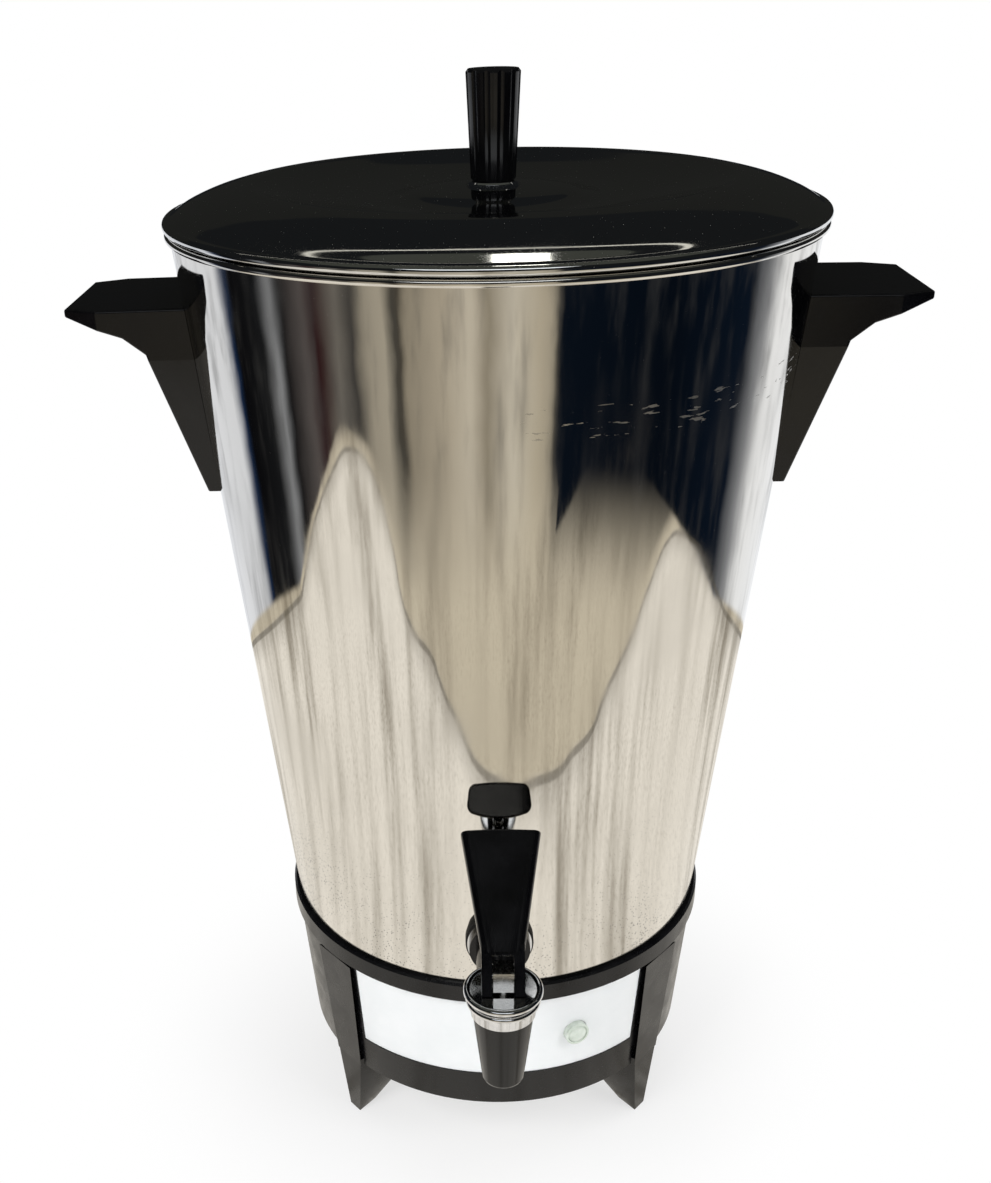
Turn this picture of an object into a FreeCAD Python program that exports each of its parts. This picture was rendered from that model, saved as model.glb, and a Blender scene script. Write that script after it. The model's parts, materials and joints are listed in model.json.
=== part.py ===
import FreeCAD, Part
import math
import os

V = FreeCAD.Vector

# Driving dimensions in millimetres, with the floor at z = 0 and the tap at the front, towards -Y.
fit = 0.3                # gap between parts that must not touch
slip = 0.1               # gap between seated parts of one body

# Body shell, a tapered drawn aluminium can
body_bottom_z = 87.7     # where the wall meets the base ring
body_top_z = 337.7
body_bottom_r = 79.1
body_top_r = 104.0
wall = 1.0
tuck = 5.0               # depth that the can reaches down inside the base ring
rim_r = 1.2              # rolled rim of the can
cone_top_z = 400.0       # height of the cones that shape what touches the wall
cut_reach = 150.0        # cutters reach this far, past every part

# Heating well in the middle of the can's floor
well_r = 21.0
well_depth = 20.0
well_flange = 4.0        # lip of the well's cup on the can's floor

# Base moulding
ring_height = 7.5
ring_proud = 1.9
skirt_bottom_z = 27.5
skirt_top_r = 79.6
skirt_bottom_r = 75.2
skirt_wall = 3.6
bay_half_deg = 42.3      # half angle of the front bay that holds the panel
panel_bottom_z = 42.9
panel_thick = 1.2
panel_recess = 0.4
leg_deg = 50.0           # direction of each leg from the front or the back
leg_proud = 1.6
leg_top_half_deg = 7.0
foot_half_deg = 2.4
foot_depth = 9.0
gusset_depth = 24.0
gusset_sweep_deg = 14.0

# Pilot lamp
lens_deg = 21.5
lens_z = 60.0
lens_r = 4.6
lens_proud = 2.6
lamp_r = 2.8
lamp_length = 13.0

# Bottom cover plate and what holds it
plate_thick = 1.0
plate_z = 33.0
stud_r = 2.0
stud_circle_r = 46.0
stud_count = 3
nut_af = 7.0
nut_height = 3.2
vent_count = 18
vent_r = 2.2
vent_circle_r = 34.0

# Heating parts under the floor of the can
heater_r = 30.0
heater_tube_r = 3.6
band_height = 12.0
band_thick = 2.2
thermostat_r = 9.0
thermostat_height = 11.0
thermostat_circle_r = 48.0
wire_r = 1.1

# Rear power inlet
inlet_z = 54.0
inlet_width = 31.0
inlet_height = 21.0
inlet_depth = 17.0
inlet_flange = 4.0
inlet_flange_thick = 2.0
inlet_wall = 2.4
pin_r = 2.0
pin_spacing = 13.0
pin_length = 13.0
inlet_screw_r = 1.5

# Side handles
handle_top_z = 315.8
handle_reach = 138.0
handle_crease = 127.0
handle_half_width = 26.8
handle_tip_half_width = 21.5
handle_tip_thick = 3.2
handle_root_thick = 10.5
handle_leg_bottom_z = 251.0
handle_leg_top_thick = 11.5
handle_leg_bottom_thick = 3.4
handle_leg_bottom_half_width = 14.0
handle_fillet = 7.0
handle_edge_r = 0.8
handle_screw_z = (302.0, 280.0)
screw_r = 2.0
screw_head_r = 4.2
screw_head_height = 2.4
screw_bite = 5.5
washer_r = 6.0
washer_thick = 1.0

# Lid
lid_bead_r = 1.6
lid_r = 106.0
lid_wall = 1.0
ridge_r = 77.0
ridge_z = 352.0
crown_r = 93.5           # a point of the lid's outer slope
crown_z = 348.4
dip_rise = 2.2           # how far the dish has risen halfway to the ridge
dish_r = 34.0
dish_z = 344.6
boss_r = 24.0
boss_z = 347.0
flange_r = 101.3
flange_wall = 0.8
flange_bottom_z = 329.0

# Lid knob
knob_top_r = 8.6
knob_bottom_r = 7.2
knob_height = 32.5
knob_flutes = 12
knob_flute_r = 1.7
knob_flute_depth = 0.45
knob_washer_r = 8.7
knob_washer_thick = 1.2
knob_screw_r = 2.4
knob_screw_head_r = 5.0
knob_screw_bite = 14.0

# Tap
tap_reach = 128.0        # distance of the tap's axis from the urn's axis
shank_z = 110.0
shank_r = 8.2
shank_bore_r = 4.4
shank_inside = 14.0      # how far the shank reaches inside the can
tap_body_r = 9.9
neck_r = 9.0
spout_end_r = 6.8
spout_end_z = 89.5
chamber_r = 6.6
seat_z = 103.0
port_r = 3.4
bonnet_r = 12.7
bonnet_bottom_z = 116.6
bonnet_top_z = 126.0
bonnet_bead_r = 1.1
bonnet_plate = 2.6
gasket_r = 11.8
gasket_thick = 3.0
tap_ring_thick = 1.0
collar_thick = 3.4
tap_nut_af = 22.0
tap_nut_thick = 5.0

# Valve inside the tap
stem_r = 2.4
stem_eye_width = 6.4
stem_eye_depth = 7.0
pin_height = 5.2         # height of the lever's pin above the bonnet
lever_pin_r = 1.25
cup_r = 5.2
cup_height = 6.0
spring_wire_r = 0.4
spring_r = 4.3

# Tap lever
lever_wall_gap = 5.5     # room between the resting lever's top and the can
lever_lean_deg = 46.0
lever_top_width = 26.0
lever_top_depth = 10.4
lever_bottom_width = 13.6
lever_bottom_depth = 9.0
fork_height = 9.0
lever_travel_deg = 38.0
lever_lift = 2.6         # how far the full travel lifts the stem

# Coffee basket, its cover and the pump
basket_bottom_z = 226.0
basket_height = 60.0
basket_bottom_r = 70.0
basket_top_r = 76.0
basket_lip = 4.0
basket_wall = 0.8
basket_hole_r = 1.3
cover_height = 7.0
cover_lip = 3.0
cover_hole_r = 1.5
cover_slant = 12.0
tube_r = 4.8
tube_bore_r = 4.0
tube_top_z = 322.0
tube_seat_r = 13.0
tube_seat_thick = 1.6
bell_r = 19.0
bell_height = 9.0
bell_wall = 1.2
bell_mouth_r = 5.5
bell_port_r = 1.5
disc_r = 11.0
disc_hole_r = 1.2
disc_thick = 1.2
basket_sleeve = 22.0


def slope():
    """Outward lean of the can's wall per millimetre of height."""
    return (body_top_r - body_bottom_r) / (body_top_z - body_bottom_z)


def wall_r(z):
    """Outer radius of the can at a height."""
    return body_bottom_r + slope() * (z - body_bottom_z)


def rim_z():
    """Height of the middle of the can's rolled rim."""
    return body_top_z - rim_r


def rim_centre_r():
    """Radius of the middle of the can's rolled rim."""
    return wall_r(rim_z()) + rim_r - wall + fit


def skirt_r(z):
    """Outer radius of the base skirt at a height."""
    top = body_bottom_z - ring_height
    return skirt_bottom_r + (skirt_top_r - skirt_bottom_r) * (z - skirt_bottom_z) / (top - skirt_bottom_z)


def outside_cone():
    """Solid that follows the can's wall just outside it."""
    return Part.makeCone(wall_r(0) + slip, wall_r(cone_top_z) + slip, cone_top_z)


def inside_cone():
    """Solid that follows the can's wall just inside it."""
    return Part.makeCone(wall_r(0) - wall - slip, wall_r(cone_top_z) - wall - slip, cone_top_z)


def turned(profile, x=0.0, y=0.0):
    """Solid of revolution about a vertical axis from a closed outline of (radius, height) points."""
    points = [V(r, 0, z) for r, z in profile]
    face = Part.Face(Part.makePolygon(points + [points[0]]))
    solid = face.revolve(V(0, 0, 0), V(0, 0, 1), 360)
    solid.translate(V(x, y, 0))
    return solid


def rod(radius, start, end):
    """Round bar from one point to another."""
    along = end - start
    return Part.makeCylinder(radius, along.Length, start, along)


def torus(big, small, z, x=0.0, y=0.0):
    """Ring of round section lying level."""
    return Part.makeTorus(big, small, V(x, y, z))


def prism(points, direction):
    """Straight prism over a flat closed outline."""
    return Part.Face(Part.makePolygon(points + [points[0]])).extrude(direction)


def block(x0, x1, y0, y1, z0, z1):
    """Box between two corners."""
    return Part.makeBox(x1 - x0, y1 - y0, z1 - z0, V(x0, y0, z0))


def hexagon(across_flats, height, centre, direction):
    """Hexagonal prism that starts at a point and runs along a direction."""
    corner = across_flats / math.sqrt(3)
    points = [V(corner * math.cos(a), corner * math.sin(a), 0)
              for a in (math.radians(60 * i) for i in range(6))]
    solid = prism(points, V(0, 0, height))
    turn = FreeCAD.Rotation(V(0, 0, 1), direction)
    solid.Placement = FreeCAD.Placement(centre, turn)
    return solid


def polar(radius, degrees, z):
    """Point at a distance from the axis, turned from the front towards +X."""
    a = math.radians(degrees)
    return V(radius * math.sin(a), -radius * math.cos(a), z)


def wedge(half_deg, centre_deg, reach, z0, z1):
    """Tall wedge that cuts a sector out of a round part."""
    a = polar(reach, centre_deg - half_deg, z0)
    b = polar(reach * 2, centre_deg, z0)
    c = polar(reach, centre_deg + half_deg, z0)
    return prism([V(0, 0, z0), a, b, c], V(0, 0, z1 - z0))


def holes(shape, cutters):
    """Shape with a list of solids taken out."""
    return shape.cut(Part.Compound(cutters)) if cutters else shape


def single(shape):
    """The one solid in a result."""
    return shape.Solids[0]


def body_shell():
    """Can with a rolled rim and a floor, pierced for the well's cup, the tap and the handles."""
    z0 = body_bottom_z - tuck
    outer_low = wall_r(z0) - slip
    floor_z = z0 + wall
    can = turned([
        (well_r + slip, z0), (outer_low, z0),
        (outer_low, body_bottom_z), (wall_r(body_bottom_z), body_bottom_z),
        (wall_r(rim_z()), rim_z()), (wall_r(rim_z()) - wall, rim_z()),
        (wall_r(body_bottom_z) - wall, body_bottom_z), (outer_low - wall, floor_z),
        (well_r + slip, floor_z)])
    can = can.fuse(torus(rim_centre_r(), rim_r, rim_z()))
    cuts = [rod(shank_r + slip, V(0, -wall_r(shank_z) - 5, shank_z), V(0, -wall_r(shank_z) + 10, shank_z))]
    for side in (-1, 1):
        for z in handle_screw_z:
            cuts.append(rod(screw_r + slip, V(side * (wall_r(z) - 8), 0, z), V(side * (wall_r(z) + 5), 0, z)))
    return single(holes(can, cuts))


def well_cup():
    """Pressed cup of the heating well, hung by its lip on the can's floor."""
    lip_low = body_bottom_z - tuck + wall + slip
    low = body_bottom_z - tuck - well_depth
    return single(turned([
        (0, low), (well_r, low), (well_r, lip_low), (well_r + well_flange, lip_low),
        (well_r + well_flange, lip_low + wall), (well_r - wall, lip_low + wall),
        (well_r - wall, low + wall), (0, low + wall)]))


def leg(degrees):
    """Tapered pilaster and gusset that ends in a foot."""
    top_z = body_bottom_z - ring_height - 1
    mirror = 1 if math.sin(math.radians(degrees)) > 0 else -1
    front = 1 if math.cos(math.radians(degrees)) > 0 else -1
    inward = mirror * front
    face_low = skirt_bottom_r + leg_proud

    def section(z, half, depth, sweep, outer):
        """Four-cornered level outline of the leg."""
        inner = outer - depth
        return Part.makePolygon([
            polar(outer, degrees - half, z), polar(outer, degrees + half, z),
            polar(inner, degrees + half * 0.5 - inward * sweep, z),
            polar(inner, degrees - half * 0.5 - inward * sweep, z),
            polar(outer, degrees - half, z)])

    upper = Part.makeLoft([
        section(top_z, leg_top_half_deg, skirt_wall + leg_proud, 0, skirt_r(top_z) + leg_proud),
        section(skirt_bottom_z, leg_top_half_deg * 0.8, skirt_wall + leg_proud, 0, face_low)], True, True)
    lower = Part.makeLoft([
        section(skirt_bottom_z + 3, leg_top_half_deg * 0.8, gusset_depth, gusset_sweep_deg, face_low),
        section(0, foot_half_deg, foot_depth, 0, skirt_bottom_r)], True, True)
    return upper.fuse(lower)


def base_moulding():
    """Black moulded base with its ring, skirt, front bay and four legs."""
    ring_bottom = body_bottom_z - ring_height
    ring_r = body_bottom_r + ring_proud
    z0 = body_bottom_z - tuck
    seat_r = wall_r(body_bottom_z)
    shelf = 3.0
    skirt = turned([
        (skirt_bottom_r, skirt_bottom_z), (skirt_top_r, ring_bottom), (ring_r, ring_bottom),
        (ring_r, body_bottom_z - 0.8), (ring_r - 0.8, body_bottom_z), (seat_r, body_bottom_z),
        (seat_r, z0 - slip), (seat_r - shelf, z0 - slip), (seat_r - shelf, z0 - shelf),
        (skirt_r(z0 - 6) - skirt_wall, z0 - 6), (skirt_bottom_r - skirt_wall, skirt_bottom_z)])
    for degrees in (leg_deg, -leg_deg, 180 - leg_deg, leg_deg - 180):
        skirt = skirt.fuse(leg(degrees))
    bay_top = ring_bottom
    recess = turned([
        (skirt_r(panel_bottom_z) - panel_recess - panel_thick - slip, panel_bottom_z),
        (skirt_r(panel_bottom_z) + 9, panel_bottom_z), (skirt_r(bay_top) + 9, bay_top),
        (skirt_r(bay_top) - panel_recess - panel_thick - slip, bay_top)])
    recess = recess.common(wedge(bay_half_deg, 0, cut_reach, panel_bottom_z - 1, bay_top + 1))
    inlet_y = skirt_r(inlet_z) + 6
    cuts = [recess,
            rod(lens_r + slip, polar(50, lens_deg, lens_z), polar(90, lens_deg, lens_z)),
            block(-inlet_width / 2 - slip, inlet_width / 2 + slip, 50, inlet_y,
                  inlet_z - inlet_height / 2 - slip, inlet_z + inlet_height / 2 + slip)]
    for x in inlet_screw_xs():
        cuts.append(rod(inlet_screw_r + slip, V(x, 50, inlet_z), V(x, inlet_y, inlet_z)))
    plate_seat = skirt_r(plate_z) - skirt_wall
    lip = turned([(plate_seat - 3, plate_z + plate_thick + slip), (plate_seat + 1, plate_z + plate_thick + slip),
                  (plate_seat + 1, plate_z + plate_thick + 4), (plate_seat - 1, plate_z + plate_thick + 4)])
    skirt = skirt.fuse(lip)
    return single(holes(skirt, cuts))


def inlet_screw_xs():
    """Sideways places of the two screws in the inlet's flange."""
    reach = inlet_width / 2 + inlet_flange
    return (-reach, reach)


def front_panel():
    """Curved plain white panel that fills the front bay."""
    top = body_bottom_z - ring_height - slip
    low = panel_bottom_z + slip
    outer = turned([
        (skirt_r(low) - panel_recess - panel_thick, low), (skirt_r(low) - panel_recess, low),
        (skirt_r(top) - panel_recess, top), (skirt_r(top) - panel_recess - panel_thick, top)])
    panel = outer.common(wedge(bay_half_deg - 0.15, 0, cut_reach, low - 1, top + 1))
    return single(panel.cut(rod(lens_r + slip, polar(60, lens_deg, lens_z), polar(90, lens_deg, lens_z))))


def pilot_lens():
    """Round moulded lens with a collar behind the panel."""
    face = skirt_r(lens_z) - panel_recess
    behind = face - panel_thick - skirt_wall - 1.5
    lens = rod(lens_r, polar(behind, lens_deg, lens_z), polar(face + lens_proud, lens_deg, lens_z))
    lens = lens.makeFillet(1.0, [e for e in lens.Edges if e.CenterOfMass.Length > V(0, 0, 0).distanceToPoint(
        polar(face + lens_proud - 0.5, lens_deg, lens_z))])
    pocket = rod(lamp_r + slip, polar(behind - 1, lens_deg, lens_z), polar(face - 1.0, lens_deg, lens_z))
    return single(lens.cut(pocket))


def pilot_lamp():
    """Small neon lamp that lights the lens."""
    face = skirt_r(lens_z) - panel_recess
    tip = face - 1.6
    bulb = rod(lamp_r, polar(tip - lamp_length, lens_deg, lens_z), polar(tip - lamp_r, lens_deg, lens_z))
    return single(bulb.fuse(Part.makeSphere(lamp_r, polar(tip - lamp_r, lens_deg, lens_z))))


def bottom_plate():
    """Pressed steel cover under the base with a ring of vents and stud holes."""
    r = skirt_r(plate_z) - skirt_wall - slip * 2
    plate = turned([(0, plate_z), (r, plate_z), (r, plate_z + plate_thick), (0, plate_z + plate_thick)])
    cuts = []
    for i in range(vent_count):
        p = polar(vent_circle_r, 360 * i / vent_count, plate_z)
        cuts.append(Part.makeCylinder(vent_r, 3, p - V(0, 0, 1)))
    for p in stud_places():
        cuts.append(Part.makeCylinder(stud_r + slip, 3, p + V(0, 0, plate_z - 1)))
    return single(holes(plate, cuts))


def stud_places():
    """Places of the studs round the axis, at floor level."""
    return [polar(stud_circle_r, 360 * i / stud_count + 90, 0) for i in range(stud_count)]


def base_studs():
    """Studs welded under the can's floor that carry the cover plate."""
    top = body_bottom_z - tuck
    low = plate_z - nut_height - 1.2
    return Part.Compound([Part.makeCylinder(stud_r, top - low, p + V(0, 0, low)) for p in stud_places()])


def base_nuts():
    """Nuts that hold the cover plate on its studs."""
    nuts = []
    for p in stud_places():
        start = p + V(0, 0, plate_z - nut_height)
        nut = hexagon(nut_af, nut_height, start, V(0, 0, 1))
        nuts.append(nut.cut(Part.makeCylinder(stud_r + slip / 2, nut_height + 2, start - V(0, 0, 1))))
    return Part.Compound(nuts)


def main_element():
    """Heating element cast in a ring round the well."""
    z = body_bottom_z - tuck - heater_tube_r - slip
    return torus(heater_r, heater_tube_r, z)


def warming_band():
    """Flat band heater clamped round the well."""
    inner = well_r + slip
    top = body_bottom_z - tuck - 2 * heater_tube_r - 1
    ring = turned([(inner, top - band_height), (inner + band_thick, top - band_height),
                   (inner + band_thick, top), (inner, top)])
    return single(ring)


def thermostat():
    """Disc thermostat pressed against the floor of the can."""
    z = body_bottom_z - tuck - slip
    p = polar(thermostat_circle_r, 0, 0)
    cap = turned([(0, z - thermostat_height), (thermostat_r - 2, z - thermostat_height),
                  (thermostat_r - 2, z - thermostat_height * 0.6), (thermostat_r, z - thermostat_height * 0.6),
                  (thermostat_r, z), (0, z)], p.x, p.y)
    tabs = [block(p.x + s * 3 - 0.4, p.x + s * 3 + 0.4, p.y - 2.5, p.y + 2.5,
                  z - thermostat_height - 5, z - thermostat_height) for s in (-1, 1)]
    return single(cap.fuse(Part.Compound(tabs)))


def wire(points, radius):
    """Round wire along straight runs with ball joints at the turns."""
    solid = rod(radius, points[0], points[1])
    for a, b in zip(points[1:], points[2:]):
        solid = solid.fuse(Part.makeSphere(radius, a)).fuse(rod(radius, a, b))
    return single(solid)


def inner_wires():
    """Two leads from the inlet's pins to the heating parts."""
    start_y = skirt_r(inlet_z) + 1 - inlet_depth - 3 - slip
    band_z = body_bottom_z - tuck - 2 * heater_tube_r - 1 - band_height / 2
    band_r = well_r + slip + band_thick
    tab_z = body_bottom_z - tuck - slip - thermostat_height - 5
    half = pin_spacing / 2
    one = wire([V(half, start_y, inlet_z), V(half, start_y - 8, inlet_z), V(half, band_r + 3, band_z),
                V(half, math.sqrt(band_r ** 2 - half ** 2) + 0.6 * wire_r, band_z)], wire_r)
    tab = polar(thermostat_circle_r, 0, tab_z) + V(-3, 0, 0)
    two = wire([V(-half, start_y, inlet_z), V(-half, start_y - 3, inlet_z), V(-half, start_y - 8, inlet_z - 8),
                V(-heater_r, 0, inlet_z - 8), V(tab.x, tab.y, inlet_z - 8), tab], wire_r)
    return Part.Compound([one, two])


def inlet_housing():
    """Shrouded appliance inlet with a flange outside the skirt."""
    face = skirt_r(inlet_z) + 1.0
    w, h = inlet_width / 2, inlet_height / 2
    back = face - inlet_depth
    tube = block(-w, w, back, face, inlet_z - h, inlet_z + h)
    mouth = block(-w + inlet_wall, w - inlet_wall, back + inlet_wall, face + 10,
                  inlet_z - h + inlet_wall, inlet_z + h - inlet_wall)
    rim_w, rim_h = w + inlet_flange + 3, h + 1.5
    flange = block(-rim_w, rim_w, face, face + inlet_flange_thick, inlet_z - rim_h, inlet_z + rim_h)
    shape = tube.fuse(flange).cut(mouth)
    cuts = [rod(pin_r + slip / 2, V(s * pin_spacing / 2, back - 1, inlet_z),
                V(s * pin_spacing / 2, back + 5, inlet_z)) for s in (-1, 1)]
    cuts += [rod(inlet_screw_r + slip, V(x, face - 5, inlet_z), V(x, face + 9, inlet_z)) for x in inlet_screw_xs()]
    return single(holes(shape, cuts))


def inlet_pins():
    """Two round contact pins inside the inlet."""
    face = skirt_r(inlet_z) + 1.0
    back = face - inlet_depth
    pins = []
    for s in (-1, 1):
        pin = rod(pin_r, V(s * pin_spacing / 2, back - 3, inlet_z), V(s * pin_spacing / 2, back + pin_length, inlet_z))
        pins.append(pin)
    return Part.Compound(pins)


def inlet_screws():
    """Two screws that hold the inlet's flange to the skirt."""
    face = skirt_r(inlet_z) + 1.0 + inlet_flange_thick
    screws = []
    for x in inlet_screw_xs():
        shank = rod(inlet_screw_r, V(x, face - 9, inlet_z), V(x, face, inlet_z))
        head = Part.makeCone(2.8, 1.8, 1.4, V(x, face, inlet_z), V(0, 1, 0))
        screws.append(shank.fuse(head))
    return Part.Compound(screws)


def handle_blank():
    """Moulded side handle on the +X side before its screw holes."""
    w, t = handle_half_width, handle_tip_half_width
    z = handle_top_z
    root = wall_r(z) - 14
    under_root = z - handle_root_thick
    leg_x = wall_r(under_root) + handle_leg_top_thick
    side = [V(root, -w, z), V(handle_reach, -w, z - 0.6), V(handle_reach, -w, z - handle_tip_thick),
            V(leg_x + handle_fillet, -w, under_root + 1.2), V(leg_x, -w, under_root - handle_fillet * 0.6),
            V(wall_r(handle_leg_bottom_z) + handle_leg_bottom_thick, -w, handle_leg_bottom_z),
            V(wall_r(handle_leg_bottom_z) - 14, -w, handle_leg_bottom_z)]
    solid = prism(side, V(0, 2 * w, 0))
    plan = [V(0, -w, 0), V(handle_crease, -w, 0), V(handle_reach + 1, -t, 0),
            V(handle_reach + 1, t, 0), V(handle_crease, w, 0), V(0, w, 0)]
    solid = solid.common(prism(plan, V(0, 0, cone_top_z)))
    low_w = handle_leg_bottom_half_width
    knee = z - handle_root_thick - 2
    front = [V(0, -w - 1, knee), V(0, -w - 1, z + 5), V(0, w + 1, z + 5), V(0, w + 1, knee),
             V(0, low_w, handle_leg_bottom_z - 1), V(0, -low_w, handle_leg_bottom_z - 1)]
    solid = solid.common(prism(front, V(cut_reach, 0, 0)))
    edges = [e for e in solid.Edges if e.CenterOfMass.x > wall_r(e.CenterOfMass.z) + 1.5]
    solid = solid.makeFillet(handle_edge_r, edges)
    return single(solid.cut(outside_cone()))


def handle_screw_ends(side, z):
    """Inner face of the wall's washer and the blind end of the hole in the handle."""
    inner = wall_r(z) - wall
    return V(side * (inner - washer_thick - slope() * washer_r), 0, z), V(side * (wall_r(z) + screw_bite), 0, z)


def handle(side):
    """Side handle with blind holes for its two screws."""
    solid = handle_blank()
    if side < 0:
        solid = solid.mirror(V(0, 0, 0), V(1, 0, 0))
    cuts = []
    for z in handle_screw_z:
        start, end = handle_screw_ends(side, z)
        bite = min(screw_bite, handle_leg_bottom_thick + 1.0) if z != handle_screw_z[0] else screw_bite
        end = V(side * (wall_r(z) + bite + 0.5), 0, z)
        cuts.append(rod(screw_r + slip / 2, start, end))
    return single(holes(solid, cuts))


def handle_screws():
    """Screws from inside the can into the handles."""
    screws = []
    for side in (-1, 1):
        for z in handle_screw_z:
            start, end = handle_screw_ends(side, z)
            bite = min(screw_bite, handle_leg_bottom_thick + 1.0) if z != handle_screw_z[0] else screw_bite
            shank = rod(screw_r, start, V(side * (wall_r(z) + bite), 0, z))
            head = rod(screw_head_r, start - V(side * screw_head_height, 0, 0), start)
            screws.append(shank.fuse(head))
    return Part.Compound(screws)


def handle_washers():
    """Sealing washers under the heads of the handle screws."""
    washers = []
    for side in (-1, 1):
        for z in handle_screw_z:
            start, _ = handle_screw_ends(side, z)
            ring = rod(washer_r, start, start + V(side * washer_thick * 3, 0, 0)).common(inside_cone())
            ring = ring.cut(rod(screw_r + slip / 2, start - V(side, 0, 0), start + V(side * 9, 0, 0)))
            washers.append(single(ring))
    return Part.Compound(washers)


def lid_bead_z():
    """Height of the middle of the lid's rolled bead where it rests on the can's rim."""
    across = lid_r - lid_bead_r - rim_centre_r()
    return rim_z() + math.sqrt((rim_r + lid_bead_r + fit) ** 2 - across ** 2)


def lid_shell():
    """Spun lid sheet with a raised boss, a dished middle, a ridge and a rolled bead."""
    bead_z = lid_bead_z()
    edge_r = lid_r - 1.4 * lid_bead_r
    edge_z = bead_z + lid_bead_r * 0.6
    drop = V(0, 0, -lid_wall)
    p = [V(0, 0, boss_z), V(boss_r, 0, boss_z), V(dish_r, 0, dish_z),
         V(ridge_r - 5.0, 0, ridge_z - 0.8), V(ridge_r + 3.0, 0, ridge_z - 0.3), V(edge_r, 0, edge_z)]
    dip = V((dish_r + ridge_r) / 2, 0, dish_z + dip_rise)
    ridge = V(ridge_r, 0, ridge_z)
    crown = V(crown_r, 0, crown_z)
    low = [q + drop for q in p]
    edges = [
        Part.LineSegment(p[0], p[1]).toShape(), Part.LineSegment(p[1], p[2]).toShape(),
        Part.Arc(p[2], dip, p[3]).toShape(), Part.Arc(p[3], ridge, p[4]).toShape(),
        Part.Arc(p[4], crown, p[5]).toShape(), Part.LineSegment(p[5], low[5]).toShape(),
        Part.Arc(low[5], crown + drop, low[4]).toShape(), Part.Arc(low[4], ridge + drop, low[3]).toShape(),
        Part.Arc(low[3], dip + drop, low[2]).toShape(), Part.LineSegment(low[2], low[1]).toShape(),
        Part.LineSegment(low[1], low[0]).toShape(), Part.LineSegment(low[0], p[0]).toShape()]
    sheet = Part.Face(Part.Wire(edges)).revolve(V(0, 0, 0), V(0, 0, 1), 360)
    lid = sheet.fuse(torus(lid_r - lid_bead_r, lid_bead_r, bead_z))
    return single(lid.cut(Part.makeCylinder(knob_screw_r + slip, 9, V(0, 0, boss_z - 5))))


def lid_flange(shell):
    """Locating ring under the lid that drops inside the can's rim."""
    ring = turned([(flange_r - flange_wall, flange_bottom_z), (flange_r, flange_bottom_z),
                   (flange_r, ridge_z), (flange_r - flange_wall, ridge_z)])
    pieces = ring.cut(shell).Solids
    return min(pieces, key=lambda s: s.CenterOfMass.z)


def lid_knob():
    """Fluted tapering knob with a slightly dished top."""
    z0 = boss_z + knob_washer_thick
    z1 = z0 + knob_height
    knob = turned([(0, z0), (knob_bottom_r - 0.6, z0), (knob_bottom_r, z0 + 0.8), (knob_top_r, z1 - 0.9),
                   (knob_top_r - 0.7, z1), (knob_top_r - 2.4, z1), (0, z1 - 0.9)])
    cuts = []
    for i in range(knob_flutes):
        a = 360.0 * (i + 0.5) / knob_flutes
        low = polar(knob_bottom_r + knob_flute_r - knob_flute_depth, a, z0 - 1)
        high = polar(knob_top_r + knob_flute_r - knob_flute_depth, a, z1 + 1)
        cuts.append(rod(knob_flute_r, low, high))
    cuts.append(Part.makeCylinder(knob_screw_r + slip / 2, knob_screw_bite + 1, V(0, 0, z0 - 1)))
    return single(holes(knob, cuts))


def knob_washer():
    """Bright washer between the knob and the lid."""
    z = boss_z
    return single(turned([(knob_screw_r + slip, z), (knob_washer_r, z), (knob_washer_r, z + knob_washer_thick * 0.6),
                          (knob_washer_r - 0.5, z + knob_washer_thick), (knob_screw_r + slip, z + knob_washer_thick)]))


def knob_screw():
    """Screw from under the lid into the knob."""
    under = boss_z - lid_wall
    top = boss_z + knob_washer_thick + knob_screw_bite - 1
    head = turned([(0, under - 2.2), (knob_screw_head_r - 1.2, under - 2.2), (knob_screw_head_r, under), (0, under)])
    return single(head.fuse(Part.makeCylinder(knob_screw_r, top - under, V(0, 0, under))))


def tap_y():
    """Place of the tap's axis."""
    return -tap_reach


def stack_ys():
    """Faces of the gasket, bright ring and collar from the can outwards."""
    start = -wall_r(shank_z) - slip
    a = start - gasket_thick
    b = a - tap_ring_thick
    return start, a, b, b - collar_thick


def disc_y(outer, inner, y0, y1):
    """Flat ring round the shank's axis."""
    ring = rod(outer, V(0, y0, shank_z), V(0, y1, shank_z))
    return ring.cut(rod(inner, V(0, y0 + 5, shank_z), V(0, y1 - 5, shank_z)))


def tap_gasket():
    """Rubber gasket between the can and the bright ring, shaped to the can's wall."""
    start, a, b, c = stack_ys()
    ring = disc_y(gasket_r, shank_r + slip, start + 3, a)
    return single(ring.cut(outside_cone()))


def tap_ring():
    """Bright metal ring outside the gasket."""
    start, a, b, c = stack_ys()
    return single(disc_y(gasket_r - 0.6, shank_r + slip, a, b))


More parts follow.
